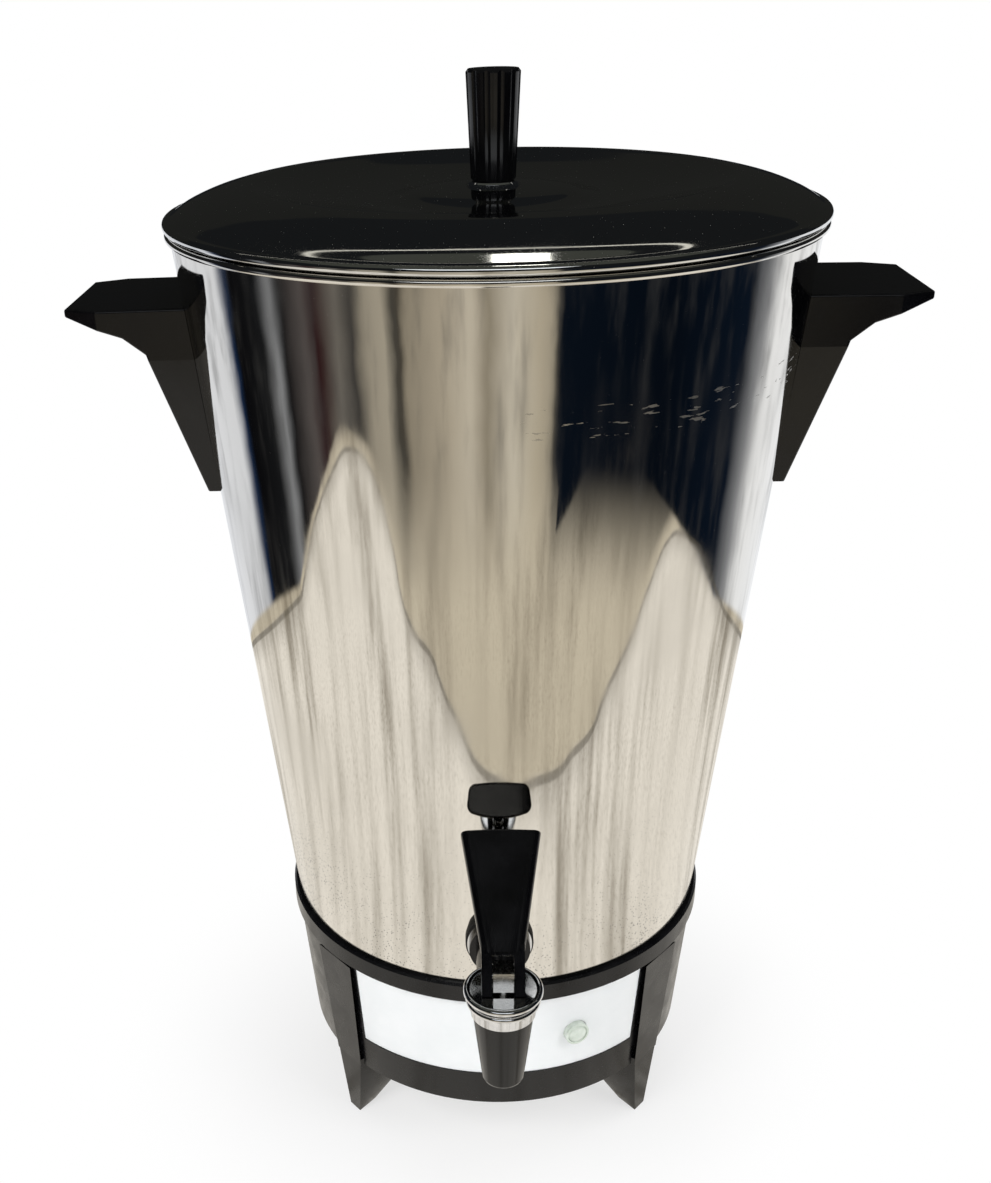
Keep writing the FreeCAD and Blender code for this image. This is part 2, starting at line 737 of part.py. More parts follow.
def tap_body():
    """Black tap body with its shank, collar, valve chamber and tapering spout."""
    start, a, b, c = stack_ys()
    y = tap_y()
    top = bonnet_top_z - bonnet_plate - slip
    body = turned([(0, spout_end_z), (spout_end_r - 0.4, spout_end_z), (spout_end_r, spout_end_z + 0.8),
                   (tap_body_r, bonnet_bottom_z - slip), (neck_r, bonnet_bottom_z - slip), (neck_r, top), (0, top)], 0, y)
    inner_end = -wall_r(shank_z) + wall + shank_inside
    shank = rod(shank_r, V(0, inner_end, shank_z), V(0, y, shank_z)).cut(
        rod(neck_r - 1, V(0, y, bonnet_bottom_z - slip), V(0, y, bonnet_top_z)))
    shank = shank.cut(block(-bonnet_r, bonnet_r, y - bonnet_r, y + bonnet_r + fit, bonnet_bottom_z - slip,
                            bonnet_top_z))
    collar = rod(gasket_r - 1.3, V(0, b, shank_z), V(0, c, shank_z))
    body = body.fuse(shank).fuse(collar)
    chamber = turned([(0, seat_z), (port_r + 1.4, seat_z), (chamber_r, seat_z + 1.6), (chamber_r, top + 1), (0, top + 1)], 0, y)
    port = Part.makeCylinder(port_r, 20, V(0, y, seat_z - 10))
    outlet = Part.makeCone(spout_end_r - 1.5, port_r, seat_z - 3 - spout_end_z + 1, V(0, y, spout_end_z - 1))
    bore = rod(shank_bore_r, V(0, inner_end + 1, shank_z), V(0, y, shank_z))
    return single(holes(body, [chamber, port, outlet, bore]))


def tap_nut_y():
    """Inner faces of the inside gasket and nut."""
    inner = -(wall_r(shank_z) - wall) + slip + 0.9
    return inner, inner + 2.0, inner + 2.0 + tap_nut_thick


def inner_gasket():
    """Rubber gasket inside the can, behind the nut."""
    a, b, c = tap_nut_y()
    ring = disc_y(gasket_r - 0.5, shank_r + slip / 2, b, a - 3)
    return single(ring.common(inside_cone()))


def tap_nut():
    """Hexagon nut on the shank inside the can."""
    a, b, c = tap_nut_y()
    nut = hexagon(tap_nut_af, tap_nut_thick, V(0, b, shank_z), V(0, 1, 0))
    return single(nut.cut(rod(shank_r + slip / 2, V(0, b - 2, shank_z), V(0, c + 2, shank_z))))


def bonnet():
    """Chromed cap with two beads that screws over the neck of the tap."""
    y = tap_y()
    bead_z = bonnet_top_z - bonnet_bead_r
    low_bead_z = bead_z - 3 * bonnet_bead_r
    rim = bonnet_r - bonnet_bead_r
    skirt_in = neck_r + slip
    cap = turned([(stem_r + slip, bonnet_top_z - bonnet_plate), (skirt_in, bonnet_top_z - bonnet_plate),
                  (skirt_in, bonnet_bottom_z), (tap_body_r + 0.6, bonnet_bottom_z),
                  (rim - 0.6, low_bead_z), (rim, bead_z), (rim - 0.5, bead_z), (rim - 0.9, bonnet_top_z - 0.8),
                  (stem_r + slip, bonnet_top_z - 0.8)], 0, y)
    cap = cap.fuse(torus(rim, bonnet_bead_r, bead_z, 0, y))
    return single(cap.fuse(torus(rim - 0.6, bonnet_bead_r * 0.9, low_bead_z, 0, y)))


def pin_z():
    """Height of the lever's pin at rest."""
    return bonnet_top_z - 0.8 + pin_height


def valve_stem():
    """Stem with a flat eye for the lever's pin and a head inside the cup."""
    y = tap_y()
    low = seat_z + 2.0
    eye_low = bonnet_top_z + 0.4
    stem = Part.makeCylinder(stem_r, eye_low + 1 - low, V(0, y, low))
    eye = block(-stem_eye_width / 2, stem_eye_width / 2, y - stem_eye_depth / 2, y + stem_eye_depth / 2,
                eye_low, pin_z() + 3.2)
    head = turned([(0, low), (stem_r + 1.2, low), (stem_r + 1.2, low + 1.4), (0, low + 1.4)], 0, y)
    shape = stem.fuse(eye).fuse(head)
    return single(shape.cut(rod(lever_pin_r + 0.03, V(-9, y, pin_z()), V(9, y, pin_z()))))


def seat_cup():
    """Soft cup on the stem that closes the port."""
    y = tap_y()
    z = seat_z + 0.2
    low = seat_z + 2.0
    cup = turned([(0, z), (port_r + 0.6, z), (cup_r, z + 1.6), (cup_r, z + cup_height), (0, z + cup_height)], 0, y)
    room = turned([(0, low), (stem_r + 1.2, low), (stem_r + 1.2, low + 1.4), (stem_r, low + 1.4),
                   (stem_r, z + cup_height + 1), (0, z + cup_height + 1)], 0, y)
    return single(cup.cut(room))


def valve_spring():
    """Closing spring between the cup and the bonnet, hidden in the chamber and drawn as a closed sleeve."""
    low = seat_z + 0.2 + cup_height + slip
    high = bonnet_top_z - bonnet_plate - slip
    inner, outer = spring_r - spring_wire_r, spring_r + spring_wire_r
    return turned([(inner, low), (outer, low), (outer, high), (inner, high)], 0, tap_y())


def lever_length():
    """Length of the lever above its pin that leaves the stated room between its top and the can."""
    lean = math.radians(lever_lean_deg)
    half = lever_top_depth / 2
    room = tap_reach - wall_r(pin_z()) - lever_wall_gap
    return (room - half * (math.cos(lean) - slope() * math.sin(lean))) / (math.sin(lean) + slope() * math.cos(lean))


def cam_outline(count):
    """Lower outline of the lever about its pin, a flat sole and an involute heel that lifts the stem."""
    per_radian = lever_lift / math.radians(lever_travel_deg)
    points = []
    for i in range(count + 1):
        a = math.radians(lever_travel_deg) * i / count
        reach = pin_height - fit + per_radian * a
        points.append((a, reach, per_radian))
    return points


def tap_lever():
    """Paddle lever whose fork straddles the stem's eye and whose heel works as a cam."""
    y, z = tap_y(), pin_z()
    count = 4
    half = lever_bottom_width / 2
    heel = []
    for a, reach, rate in cam_outline(count):
        down = V(0, math.sin(a), -math.cos(a))
        side = V(0, math.cos(a), math.sin(a))
        heel.append(down * reach + side * rate)
    toe = V(0, -lever_bottom_depth * 0.5, -(pin_height - fit))
    curve = Part.BSplineCurve()
    curve.interpolate(heel)
    tilt = math.radians(lever_lean_deg)
    lean = V(0, math.sin(tilt), math.cos(tilt))
    across = V(0, math.cos(tilt), -math.sin(tilt))
    top_front = lean * fork_height - across * (lever_bottom_depth / 2)
    top_back = lean * fork_height + across * (lever_bottom_depth / 2)
    edges = [Part.LineSegment(toe, heel[0]).toShape(), curve.toShape(), Part.LineSegment(heel[-1], top_back).toShape(),
             Part.LineSegment(top_back, top_front).toShape(), Part.LineSegment(top_front, toe).toShape()]
    cheek = Part.Face(Part.Wire(edges)).extrude(V(2 * half, 0, 0))
    cheek.translate(V(-half, 0, 0))
    slot_half = stem_eye_width / 2 + fit
    slot = block(-slot_half, slot_half, -40, 40, -30, fork_height - 2.4)
    cheek = cheek.cut(slot)
    paddle = paddle_blade()
    turn = FreeCAD.Rotation(V(1, 0, 0), -lever_lean_deg)
    paddle.Placement = FreeCAD.Placement(V(0, 0, 0), turn)
    lever = cheek.fuse(paddle)
    lever = lever.cut(rod(lever_pin_r + 0.03, V(-20, 0, 0), V(20, 0, 0)))
    lever.translate(V(0, y, z))
    return single(lever)


def oval(width, depth, z):
    """Level outline with a rounded front and back."""
    a, b = width / 2, depth / 2
    r = min(b, a) * 0.62
    points = [V(-a + r, -b, z), V(a - r, -b, z), V(a, -b + r, z), V(a, b - r, z),
              V(a - r, b, z), V(-a + r, b, z), V(-a, b - r, z), V(-a, -b + r, z)]
    edges = []
    k = r * (1 - math.sqrt(0.5))
    mids = [None, V(a - k, -b + k, z), None, V(a - k, b - k, z), None, V(-a + k, b - k, z), None, V(-a + k, -b + k, z)]
    for i, mid in enumerate(mids):
        p, q = points[i], points[(i + 1) % 8]
        if mid is None and i in (0, 4):
            bow = V(0, -b * 1.18 if i == 0 else b * 1.18, z)
            edges.append(Part.Arc(p, bow, q).toShape())
        elif mid is None:
            edges.append(Part.LineSegment(p, q).toShape())
        else:
            edges.append(Part.Arc(p, mid, q).toShape())
    return Part.Wire(edges)


def paddle_blade():
    """Blade of the lever, upright before it is leaned back."""
    top = lever_length()
    loft = Part.makeLoft([
        oval(lever_bottom_width, lever_bottom_depth, fork_height - 2.4),
        oval(lever_top_width, lever_top_depth, top)], True, True)
    crown = [e for e in loft.Edges if e.BoundBox.ZMin > top - 0.5]
    return loft.makeFillet(0.8, crown)


def lever_pin():
    """Pin through the lever's fork and the stem's eye."""
    y = tap_y()
    half = lever_bottom_width / 2 - 0.2
    return rod(lever_pin_r, V(-half, y, pin_z()), V(half, y, pin_z()))


def hole_rings(radii_and_counts, radius, z0, z1):
    """Rings of small upright holes."""
    cuts = []
    for ring, count in radii_and_counts:
        for i in range(count):
            p = polar(ring, 360.0 * (i + 0.5) / count, z0)
            cuts.append(Part.makeCylinder(radius, z1 - z0, p))
    return cuts


def coffee_basket():
    """Thin basket with a rolled lip, a centre sleeve and a drilled floor."""
    z0, z1 = basket_bottom_z, basket_bottom_z + basket_height
    sleeve = tube_r + 0.5
    w = basket_wall
    basket = turned([
        (sleeve, z0), (basket_bottom_r, z0), (basket_top_r, z1 - w), (basket_top_r + basket_lip, z1 - w),
        (basket_top_r + basket_lip, z1), (basket_top_r - w, z1), (basket_bottom_r - w, z0 + w), (sleeve + w, z0 + w),
        (sleeve + w, z0 + basket_sleeve), (sleeve, z0 + basket_sleeve)])
    rings = [(24.0, 6), (42.0, 10), (60.0, 14)]
    return single(holes(basket, hole_rings(rings, basket_hole_r, z0 - 1, z0 + w + 1)))


def basket_cover():
    """Raised spreader that lies on the basket's lip and shares the water out."""
    z = basket_bottom_z + basket_height + slip
    w = basket_wall
    hole = tube_r + 0.5
    edge = basket_top_r + basket_lip - 0.5
    shoulder = basket_top_r - basket_wall - 1.0
    top = z + cover_height
    cover = turned([
        (hole, top - w), (shoulder - cover_slant, top - w), (shoulder - 1.0, z), (edge, z),
        (edge, z + w), (shoulder - 1.0 + w * 0.5, z + w), (shoulder - cover_slant + w * 0.5, top), (hole, top)])
    rings = [(26.0, 8), (48.0, 14)]
    return single(holes(cover, hole_rings(rings, cover_hole_r, z - 1, z + cover_height + 1)))


def pump_low_z():
    """Top face of the well's floor."""
    return body_bottom_z - tuck - well_depth + wall


def pump_tube():
    """Riser tube with the seat that carries the basket and a bell that stands in the well."""
    z0 = pump_low_z() + fit
    bell_top = z0 + bell_height
    w = bell_wall
    tube = turned([(tube_bore_r, bell_top - w), (tube_r, bell_top - w), (tube_r, tube_top_z), (tube_bore_r, tube_top_z)])
    bell = turned([(tube_bore_r, bell_top - w), (tube_r + 2, bell_top - w), (bell_r - w, z0 + w),
                   (bell_mouth_r, z0 + w), (bell_mouth_r, z0), (bell_r, z0), (bell_r, z0 + w),
                   (tube_r + 2, bell_top), (tube_bore_r, bell_top)])
    seat_z1 = basket_bottom_z - slip
    seat = turned([(tube_bore_r + 0.4, seat_z1 - tube_seat_thick), (tube_seat_r, seat_z1 - tube_seat_thick),
                   (tube_seat_r, seat_z1), (tube_bore_r + 0.4, seat_z1)])
    port_z = z0 + w + bell_port_r + 0.4
    ports = [rod(bell_port_r, polar(bell_mouth_r, 60 * i + 30, port_z), polar(bell_r + 4, 60 * i + 30, port_z))
             for i in range(6)]
    return single(holes(bell.fuse(tube).fuse(seat), ports))


def pump_disc():
    """Loose valve disc that lifts under the bell and primes the pump."""
    z = pump_low_z() + fit + bell_wall + slip
    ring = turned([(disc_hole_r, z), (disc_r, z), (disc_r, z + disc_thick), (disc_hole_r, z + disc_thick)])
    return single(ring)


def write(name, shape):
    """Write one part to its own file."""
    shape.exportStep("parts/%s.step" % name)
    print("%-16s solids %d volume %.0f valid %s" % (name, len(shape.Solids), shape.Volume, shape.isValid()))


def main():
    """Build and write every part."""
    os.makedirs("parts", exist_ok=True)
    shell = lid_shell()
    parts = {
        "body_shell": body_shell(), "well_cup": well_cup(), "base_moulding": base_moulding(), "front_panel": front_panel(),
        "pilot_lens": pilot_lens(), "pilot_lamp": pilot_lamp(), "bottom_plate": bottom_plate(),
        "base_studs": base_studs(), "base_nuts": base_nuts(), "main_element": main_element(),
        "warming_band": warming_band(), "thermostat": thermostat(), "inner_wires": inner_wires(),
        "inlet_housing": inlet_housing(), "inlet_pins": inlet_pins(), "inlet_screws": inlet_screws(),
        "left_handle": handle(-1), "right_handle": handle(1), "handle_screws": handle_screws(),
        "handle_washers": handle_washers(), "tap_gasket": tap_gasket(), "tap_ring": tap_ring(),
        "tap_body": tap_body(), "inner_gasket": inner_gasket(), "tap_nut": tap_nut(), "bonnet": bonnet(),
        "valve_stem": valve_stem(), "seat_cup": seat_cup(), "valve_spring": valve_spring(),
        "tap_lever": tap_lever(), "lever_pin": lever_pin(), "lid_shell": shell,
        "lid_flange": lid_flange(shell), "lid_knob": lid_knob(), "knob_washer": knob_washer(),
        "knob_screw": knob_screw(), "coffee_basket": coffee_basket(), "basket_cover": basket_cover(),
        "pump_tube": pump_tube(), "pump_disc": pump_disc()}
    for name, shape in parts.items():
        write(name, shape)


main()
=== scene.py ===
"""Looks of a coffee urn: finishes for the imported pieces, turned can and lid, pilot lens, stage and camera."""
import json
import logging
import math
from dataclasses import dataclass
from enum import Enum
from typing import Sequence

import bpy
from mathutils import Matrix, Vector


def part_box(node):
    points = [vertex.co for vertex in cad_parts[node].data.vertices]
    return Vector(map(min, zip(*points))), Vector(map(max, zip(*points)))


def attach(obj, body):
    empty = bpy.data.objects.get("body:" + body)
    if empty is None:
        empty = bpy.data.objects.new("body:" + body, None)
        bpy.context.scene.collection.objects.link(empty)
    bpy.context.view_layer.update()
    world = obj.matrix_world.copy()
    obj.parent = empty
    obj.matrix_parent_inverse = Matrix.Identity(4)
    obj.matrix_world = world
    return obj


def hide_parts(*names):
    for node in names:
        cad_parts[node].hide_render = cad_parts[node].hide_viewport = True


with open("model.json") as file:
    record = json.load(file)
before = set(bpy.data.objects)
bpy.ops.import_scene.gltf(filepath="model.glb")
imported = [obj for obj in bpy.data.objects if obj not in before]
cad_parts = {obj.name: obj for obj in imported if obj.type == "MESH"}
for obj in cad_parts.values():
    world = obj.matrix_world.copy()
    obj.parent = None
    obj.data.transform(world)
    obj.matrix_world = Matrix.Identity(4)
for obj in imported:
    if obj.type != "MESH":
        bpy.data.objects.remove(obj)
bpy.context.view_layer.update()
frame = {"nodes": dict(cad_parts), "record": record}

LOG = logging.getLogger("urn")
MM = 0.001
REACH_UNIT_M = 3.0  # a reach is stored in a ramp as a share of this
PROFILE = Sequence[tuple[float, float]]


def linear(code: str) -> tuple[float, float, float, float]:
    """Turns an sRGB hex colour into the linear values that a shader takes.

    Args:
        code: six hex digits.
    Returns:
        Linear red, green, blue and an alpha of one.
    """
    parts = [int(code[i:i + 2], 16) / 255 for i in (0, 2, 4)]
    low, high = 12.92, 1.055
    lin = [c / low if c <= 0.04045 else ((c + 0.055) / high) ** 2.4 for c in parts]
    return (lin[0], lin[1], lin[2], 1.0)


def node(tree: bpy.types.NodeTree, kind: str, settings: dict | None = None,
         links: dict | None = None) -> bpy.types.Node:
    """Adds one shader node with its settings and its links.

    Args:
        tree: the material's or the world's tree.
        kind: the node's type name.
        settings: properties by name, or input values by socket name or number.
        links: output sockets by the input socket's name or number.
    Returns:
        The new node.
    """
    made = tree.nodes.new(kind)
    for key, value in (settings or {}).items():
        if isinstance(key, str) and hasattr(made, key):
            setattr(made, key, value)
        else:
            made.inputs[key].default_value = value
    for key, source in (links or {}).items():
        tree.links.new(source, made.inputs[key])
    return made


def ramp(tree: bpy.types.NodeTree, source: bpy.types.NodeSocket, stops: Sequence[tuple[float, tuple]],
         joining: str = "LINEAR") -> bpy.types.NodeSocket:
    """Maps a value to colours by stops.

    Args:
        tree: the tree that gets the ramp.
        source: the value.
        stops: places and linear colours, low to high.
        joining: how the ramp runs between two stops.
    Returns:
        The ramp's colour socket.
    """
    made = node(tree, "ShaderNodeValToRGB", links={"Fac": source})
    band = made.color_ramp
    band.interpolation = joining
    while len(band.elements) > 1:
        band.elements.remove(band.elements[-1])
    band.elements[0].position, band.elements[0].color = stops[0]
    for place, colour in stops[1:]:
        band.elements.new(place).color = colour
    return made.outputs["Color"]


def calc(tree: bpy.types.NodeTree, work: str, first: bpy.types.NodeSocket | float,
         second: bpy.types.NodeSocket | float = 0.0) -> bpy.types.NodeSocket:
    """Works out one sum in a tree.

    Args:
        tree: the tree.
        work: the sum's name, such as ADD.
        first, second: sockets or plain numbers.
    Returns:
        The result's socket.
    """
    made = node(tree, "ShaderNodeMath", {"operation": work})
    for place, value in enumerate((first, second)):
        if isinstance(value, (int, float)):
            made.inputs[place].default_value = value
        else:
            tree.links.new(value, made.inputs[place])
    return made.outputs[0]


def spread(tree: bpy.types.NodeTree, value: bpy.types.NodeSocket, low: float,
           high: float) -> bpy.types.NodeSocket:
    """Smooth step of a value between two bounds.

    Args:
        tree: the tree.
        value: the value.
        low, high: where the step starts and ends.
    Returns:
        Zero under the lower bound, one over the upper.
    """
    return node(tree, "ShaderNodeMapRange", {"interpolation_type": "SMOOTHSTEP", "From Min": low,
                                             "From Max": high}, {"Value": value}).outputs[0]


def blend(tree: bpy.types.NodeTree, share: bpy.types.NodeSocket, base: bpy.types.NodeSocket,
          over: bpy.types.NodeSocket | tuple) -> bpy.types.NodeSocket:
    """Lays one colour over another by a share.

    Args:
        tree: the tree.
        share: how much of the upper colour shows.
        base: the lower colour.
        over: the upper colour, a socket or linear values.
    Returns:
        The mixed colour.
    """
    made = node(tree, "ShaderNodeMix", {"data_type": "RGBA"})
    tree.links.new(share, made.inputs[0])
    tree.links.new(base, made.inputs[6])
    if isinstance(over, tuple):
        made.inputs[7].default_value = over
    else:
        tree.links.new(over, made.inputs[7])
    return made.outputs[2]


def grey(value: float) -> tuple[float, float, float, float]:
    """A linear grey.

    Args:
        value: its brightness.
    Returns:
        The grey with an alpha of one.
    """
    return (value, value, value, 1.0)


def plain(tree: bpy.types.NodeTree, code: str) -> bpy.types.NodeSocket:
    """A plain colour as a socket.

    Args:
        tree: the tree.
        code: its hex colour.
    Returns:
        The colour's socket.
    """
    made = node(tree, "ShaderNodeRGB")
    made.outputs[0].default_value = linear(code)
    return made.outputs[0]


class Stroke(Enum):
    """Direction that a surface was rubbed or drawn in."""

    ALL_OVER = (1.0, 1.0, 1.0)
    AROUND = (1.0, 1.0, 14.0)
    UPRIGHT = (9.0, 9.0, 0.6)


@dataclass(frozen=True)
class Finish:
    """A surface finish with a mottled colour, uneven gloss and fine relief.

    Args:
        name: the finish in a maker's words.
        light, dark: hex colours at the two ends of the mottling.
        metallic: one for bare metal.
        rough_low, rough_high: gloss range.
        ior: index of refraction, left alone on metal.
        coat: clear coat weight.
        grain_mm: size of the mottling.
        relief_mm: height of the fine relief.
        relief_grain_mm: size of the fine relief.
        stroke: direction of the rubbing.
    """

    name: str
    light: str
    dark: str
    metallic: float = 0.0
    rough_low: float = 0.2
    rough_high: float = 0.4
    ior: float = 1.5
    coat: float = 0.0
    grain_mm: float = 8.0
    relief_mm: float = 0.01
    relief_grain_mm: float = 0.8
    stroke: Stroke = Stroke.ALL_OVER

    def build(self) -> bpy.types.Material:
        """Makes the material.

        Returns:
            The new material.
        """
        material = bpy.data.materials.new(self.name)
        material.use_nodes = True
        tree = material.node_tree
        shader = tree.nodes["Principled BSDF"]
        place = node(tree, "ShaderNodeTexCoord").outputs["Object"]
        stretched = node(tree, "ShaderNodeMapping", {"Scale": self.stroke.value}, {"Vector": place}).outputs[0]
        mottle = node(tree, "ShaderNodeTexNoise", {"Scale": 1 / (self.grain_mm * MM), "Detail": 6.0,
                                                   "Roughness": 0.6}, {"Vector": stretched}).outputs["Fac"]
        fine = node(tree, "ShaderNodeTexNoise", {"Scale": 1 / (self.relief_grain_mm * MM), "Detail": 3.0},
                    {"Vector": stretched}).outputs["Fac"]
        colour = ramp(tree, mottle, ((0.32, linear(self.dark)), (0.68, linear(self.light))))
        tree.links.new(colour, shader.inputs["Base Color"])
        gloss = node(tree, "ShaderNodeMapRange", {"From Min": 0.3, "From Max": 0.7, "To Min": self.rough_low,
                                                  "To Max": self.rough_high}, {"Value": mottle}).outputs[0]
        tree.links.new(gloss, shader.inputs["Roughness"])
        bump = node(tree, "ShaderNodeBump", {"Strength": 0.6, "Distance": self.relief_mm * MM},
                    {"Height": fine}).outputs[0]
        tree.links.new(bump, shader.inputs["Normal"])
        shader.inputs["Metallic"].default_value = self.metallic
        if not self.metallic:
            shader.inputs["IOR"].default_value = self.ior
        if self.coat:
            shader.inputs["Coat Weight"].default_value = self.coat
            shader.inputs["Coat Roughness"].default_value = self.rough_low
        return material


@dataclass(frozen=True)
class MirrorMetal:
    """Buffed sheet metal with hairline wiping marks, scuffs, etched pits and settled dust.

    Args:
        name: the finish in a maker's words.
        colour: hex colour of the clean metal.
        rough: roughness where the buffing is whole.
        hazed: roughness added where it is dulled.
        pit_top_mm: height under which the metal is pitted, fading out upwards.
        dust: how much of the surface carries specks.
        scuff_z_mm: height of the short scuffs.
        scuff_half_mm: half the height of their band.
        wipe_stretch: how the wiping marks are drawn out along each axis.
        foot_z_mm: height at which the pitting is at its full.
        pit_grey, dust_grey: linear greys of an etched pit and of a speck of dust.
        relief_mm: height of the fine relief.
        cloud_scale, pit_scale, speck_scale: how many clouds, pits and specks there are to a metre.
    """

    name: str
    colour: str
    rough: float = 0.03
    hazed: float = 0.09
    pit_top_mm: float = 190.0
    dust: float = 0.006
    scuff_z_mm: float = 297.0
    scuff_half_mm: float = 5.0
    wipe_stretch: tuple[float, float, float] = (60.0, 60.0, 5.0)
    foot_z_mm: float = 90.0
    pit_grey: float = 0.33
    dust_grey: float = 0.75
    relief_mm: float = 0.02
    cloud_scale: float = 22.0
    pit_scale: float = 900.0
    speck_scale: float = 650.0

    def build(self) -> bpy.types.Material:
        """Makes the material.

        Returns:
            The new material.
        """
        material = bpy.data.materials.new(self.name)
        material.use_nodes = True
        tree = material.node_tree
        shader = tree.nodes["Principled BSDF"]
        shader.inputs["Metallic"].default_value = 1.0
        spot = node(tree, "ShaderNodeTexCoord").outputs["Object"]
        height = node(tree, "ShaderNodeSeparateXYZ", links={0: spot}).outputs["Z"]
        wiped = node(tree, "ShaderNodeMapping", {"Scale": self.wipe_stretch}, {"Vector": spot}).outputs[0]
        wiping = node(tree, "ShaderNodeTexNoise", {"Scale": 6.0, "Detail": 8.0, "Roughness": 0.7},
                      {"Vector": wiped}).outputs["Fac"]
        cloud = node(tree, "ShaderNodeTexNoise", {"Scale": self.cloud_scale, "Detail": 5.0},
                     {"Vector": spot}).outputs["Fac"]
        low = node(tree, "ShaderNodeMapRange", {"From Min": self.pit_top_mm * MM, "From Max": self.foot_z_mm * MM},
                   {"Value": height}).outputs[0]
        grit = node(tree, "ShaderNodeTexVoronoi", {"Scale": self.pit_scale, "Randomness": 1.0},
                    {"Vector": spot}).outputs[0]
        pitted = calc(tree, "LESS_THAN", grit, calc(tree, "MULTIPLY", calc(tree, "MULTIPLY", cloud, cloud),
                                                    calc(tree, "MULTIPLY", low, 0.9)))
        scuff = self.scuffs(tree, spot, height)
        haze = calc(tree, "ADD", calc(tree, "MULTIPLY", spread(tree, cloud, 0.45, 0.75), self.hazed),
                    calc(tree, "MULTIPLY", spread(tree, wiping, 0.4, 0.8), self.hazed * 0.5))
        rough = calc(tree, "ADD", calc(tree, "ADD", haze, self.rough), calc(tree, "MULTIPLY", scuff, 0.3))
        rough = calc(tree, "ADD", rough, calc(tree, "MULTIPLY", low, 0.05))
        speck = node(tree, "ShaderNodeTexVoronoi", {"Scale": self.speck_scale, "Randomness": 1.0},
                     {"Vector": spot})
        dusty = calc(tree, "LESS_THAN", speck.outputs["Distance"], calc(tree, "MULTIPLY", cloud, self.dust * 8))
        clean = linear(self.colour)
        worn = tuple(c * 0.93 for c in clean[:3]) + (1.0,)
        tint = ramp(tree, cloud, ((0.3, clean), (0.8, worn)))
        marked = blend(tree, pitted, tint, grey(self.pit_grey))
        tree.links.new(blend(tree, dusty, marked, grey(self.dust_grey)), shader.inputs["Base Color"])
        tree.links.new(calc(tree, "ADD", rough, calc(tree, "MULTIPLY", dusty, 0.5)), shader.inputs["Roughness"])
        relief = calc(tree, "ADD", calc(tree, "MULTIPLY", wiping, 0.35), calc(tree, "MULTIPLY", pitted, -1.0))
        bump = node(tree, "ShaderNodeBump", {"Strength": 0.25, "Distance": self.relief_mm * MM},
                    {"Height": relief}).outputs[0]
        tree.links.new(bump, shader.inputs["Normal"])
        return material

    def scuffs(self, tree: bpy.types.NodeTree, spot: bpy.types.NodeSocket,
               height: bpy.types.NodeSocket) -> bpy.types.NodeSocket:
        """Mask of short level scratches in a narrow band of height.

        Args:
            tree: the material's tree.
            spot: place on the object.
            height: its height.
        Returns:
            One on a scratch, zero elsewhere.
        """
        off = calc(tree, "ABSOLUTE", calc(tree, "SUBTRACT", height, self.scuff_z_mm * MM))
        band = calc(tree, "LESS_THAN", off, self.scuff_half_mm * MM)
        drawn = node(tree, "ShaderNodeMapping", {"Scale": (150.0, 150.0, 900.0)}, {"Vector": spot}).outputs[0]
        lines = node(tree, "ShaderNodeTexNoise", {"Scale": 1.0, "Detail": 4.0}, {"Vector": drawn}).outputs["Fac"]
        across = node(tree, "ShaderNodeSeparateXYZ", links={0: spot}).outputs["X"]
        side = calc(tree, "GREATER_THAN", across, 0.005)
        return calc(tree, "MULTIPLY", calc(tree, "MULTIPLY", band, side), calc(tree, "GREATER_THAN", lines, 0.63))


AnyFinish = Finish | MirrorMetal

# Drawn aluminium buffed to a mirror, a little warm, pitted and hazed towards the foot.
POLISHED_ALUMINIUM = MirrorMetal("buffed_drawn_aluminium", "E8E5DF")
# The lid's spun aluminium, buffed, with settled dust.
LID_ALUMINIUM = MirrorMetal("buffed_spun_aluminium", "E2E2E0", rough=0.04, hazed=0.07, pit_top_mm=95.0,
                            dust=0.018)
# Plain mill aluminium inside and on the basket, a soft even sheen.
SATIN_ALUMINIUM = Finish("satin_mill_aluminium", "C9C9C7", "B4B3B0", 1.0, 0.28, 0.42, grain_mm=6,
                         relief_mm=0.006, stroke=Stroke.AROUND)
# Moulded black phenolic, glossy on the grips, with a faint skin.
GLOSS_PHENOLIC = Finish("moulded_black_phenolic", "08080A", "040405", 0.0, 0.14, 0.26, ior=1.45, coat=0.0,
                        grain_mm=12, relief_mm=0.008, relief_grain_mm=2.2)
# The same phenolic on the base, greyed and dulled by wear.
WORN_PHENOLIC = Finish("worn_black_phenolic", "111113", "08080A", 0.0, 0.2, 0.38, ior=1.45,
                       grain_mm=9, relief_mm=0.02, relief_grain_mm=1.2)
# Stove enamel on the front panel, clean blue-white and glossy.
WHITE_ENAMEL = Finish("white_stove_enamel", "F5F7F8", "F0F3F4", 0.0, 0.12, 0.24, ior=1.52, coat=0.3,
                      grain_mm=14, relief_mm=0.006, relief_grain_mm=3.0)
# Chromium plate on the bonnet and washers, a hard clear mirror.
CHROME = Finish("chromium_plate", "EDEEF0", "DDDEE1", 1.0, 0.03, 0.09, grain_mm=3, relief_mm=0.004,
                relief_grain_mm=1.0)
# Zinc plate on screws, nuts and the cover plate, grey with a spangle.
ZINC_PLATE = Finish("zinc_plated_steel", "B8B7B0", "8F8E89", 1.0, 0.25, 0.5, grain_mm=2.5, relief_mm=0.01)
# Heat-tinted steel sheath of the heating parts.
HEATER_SHEATH = Finish("heat_tinted_sheath", "6E6762", "4A4038", 1.0, 0.35, 0.6, grain_mm=4, relief_mm=0.02)
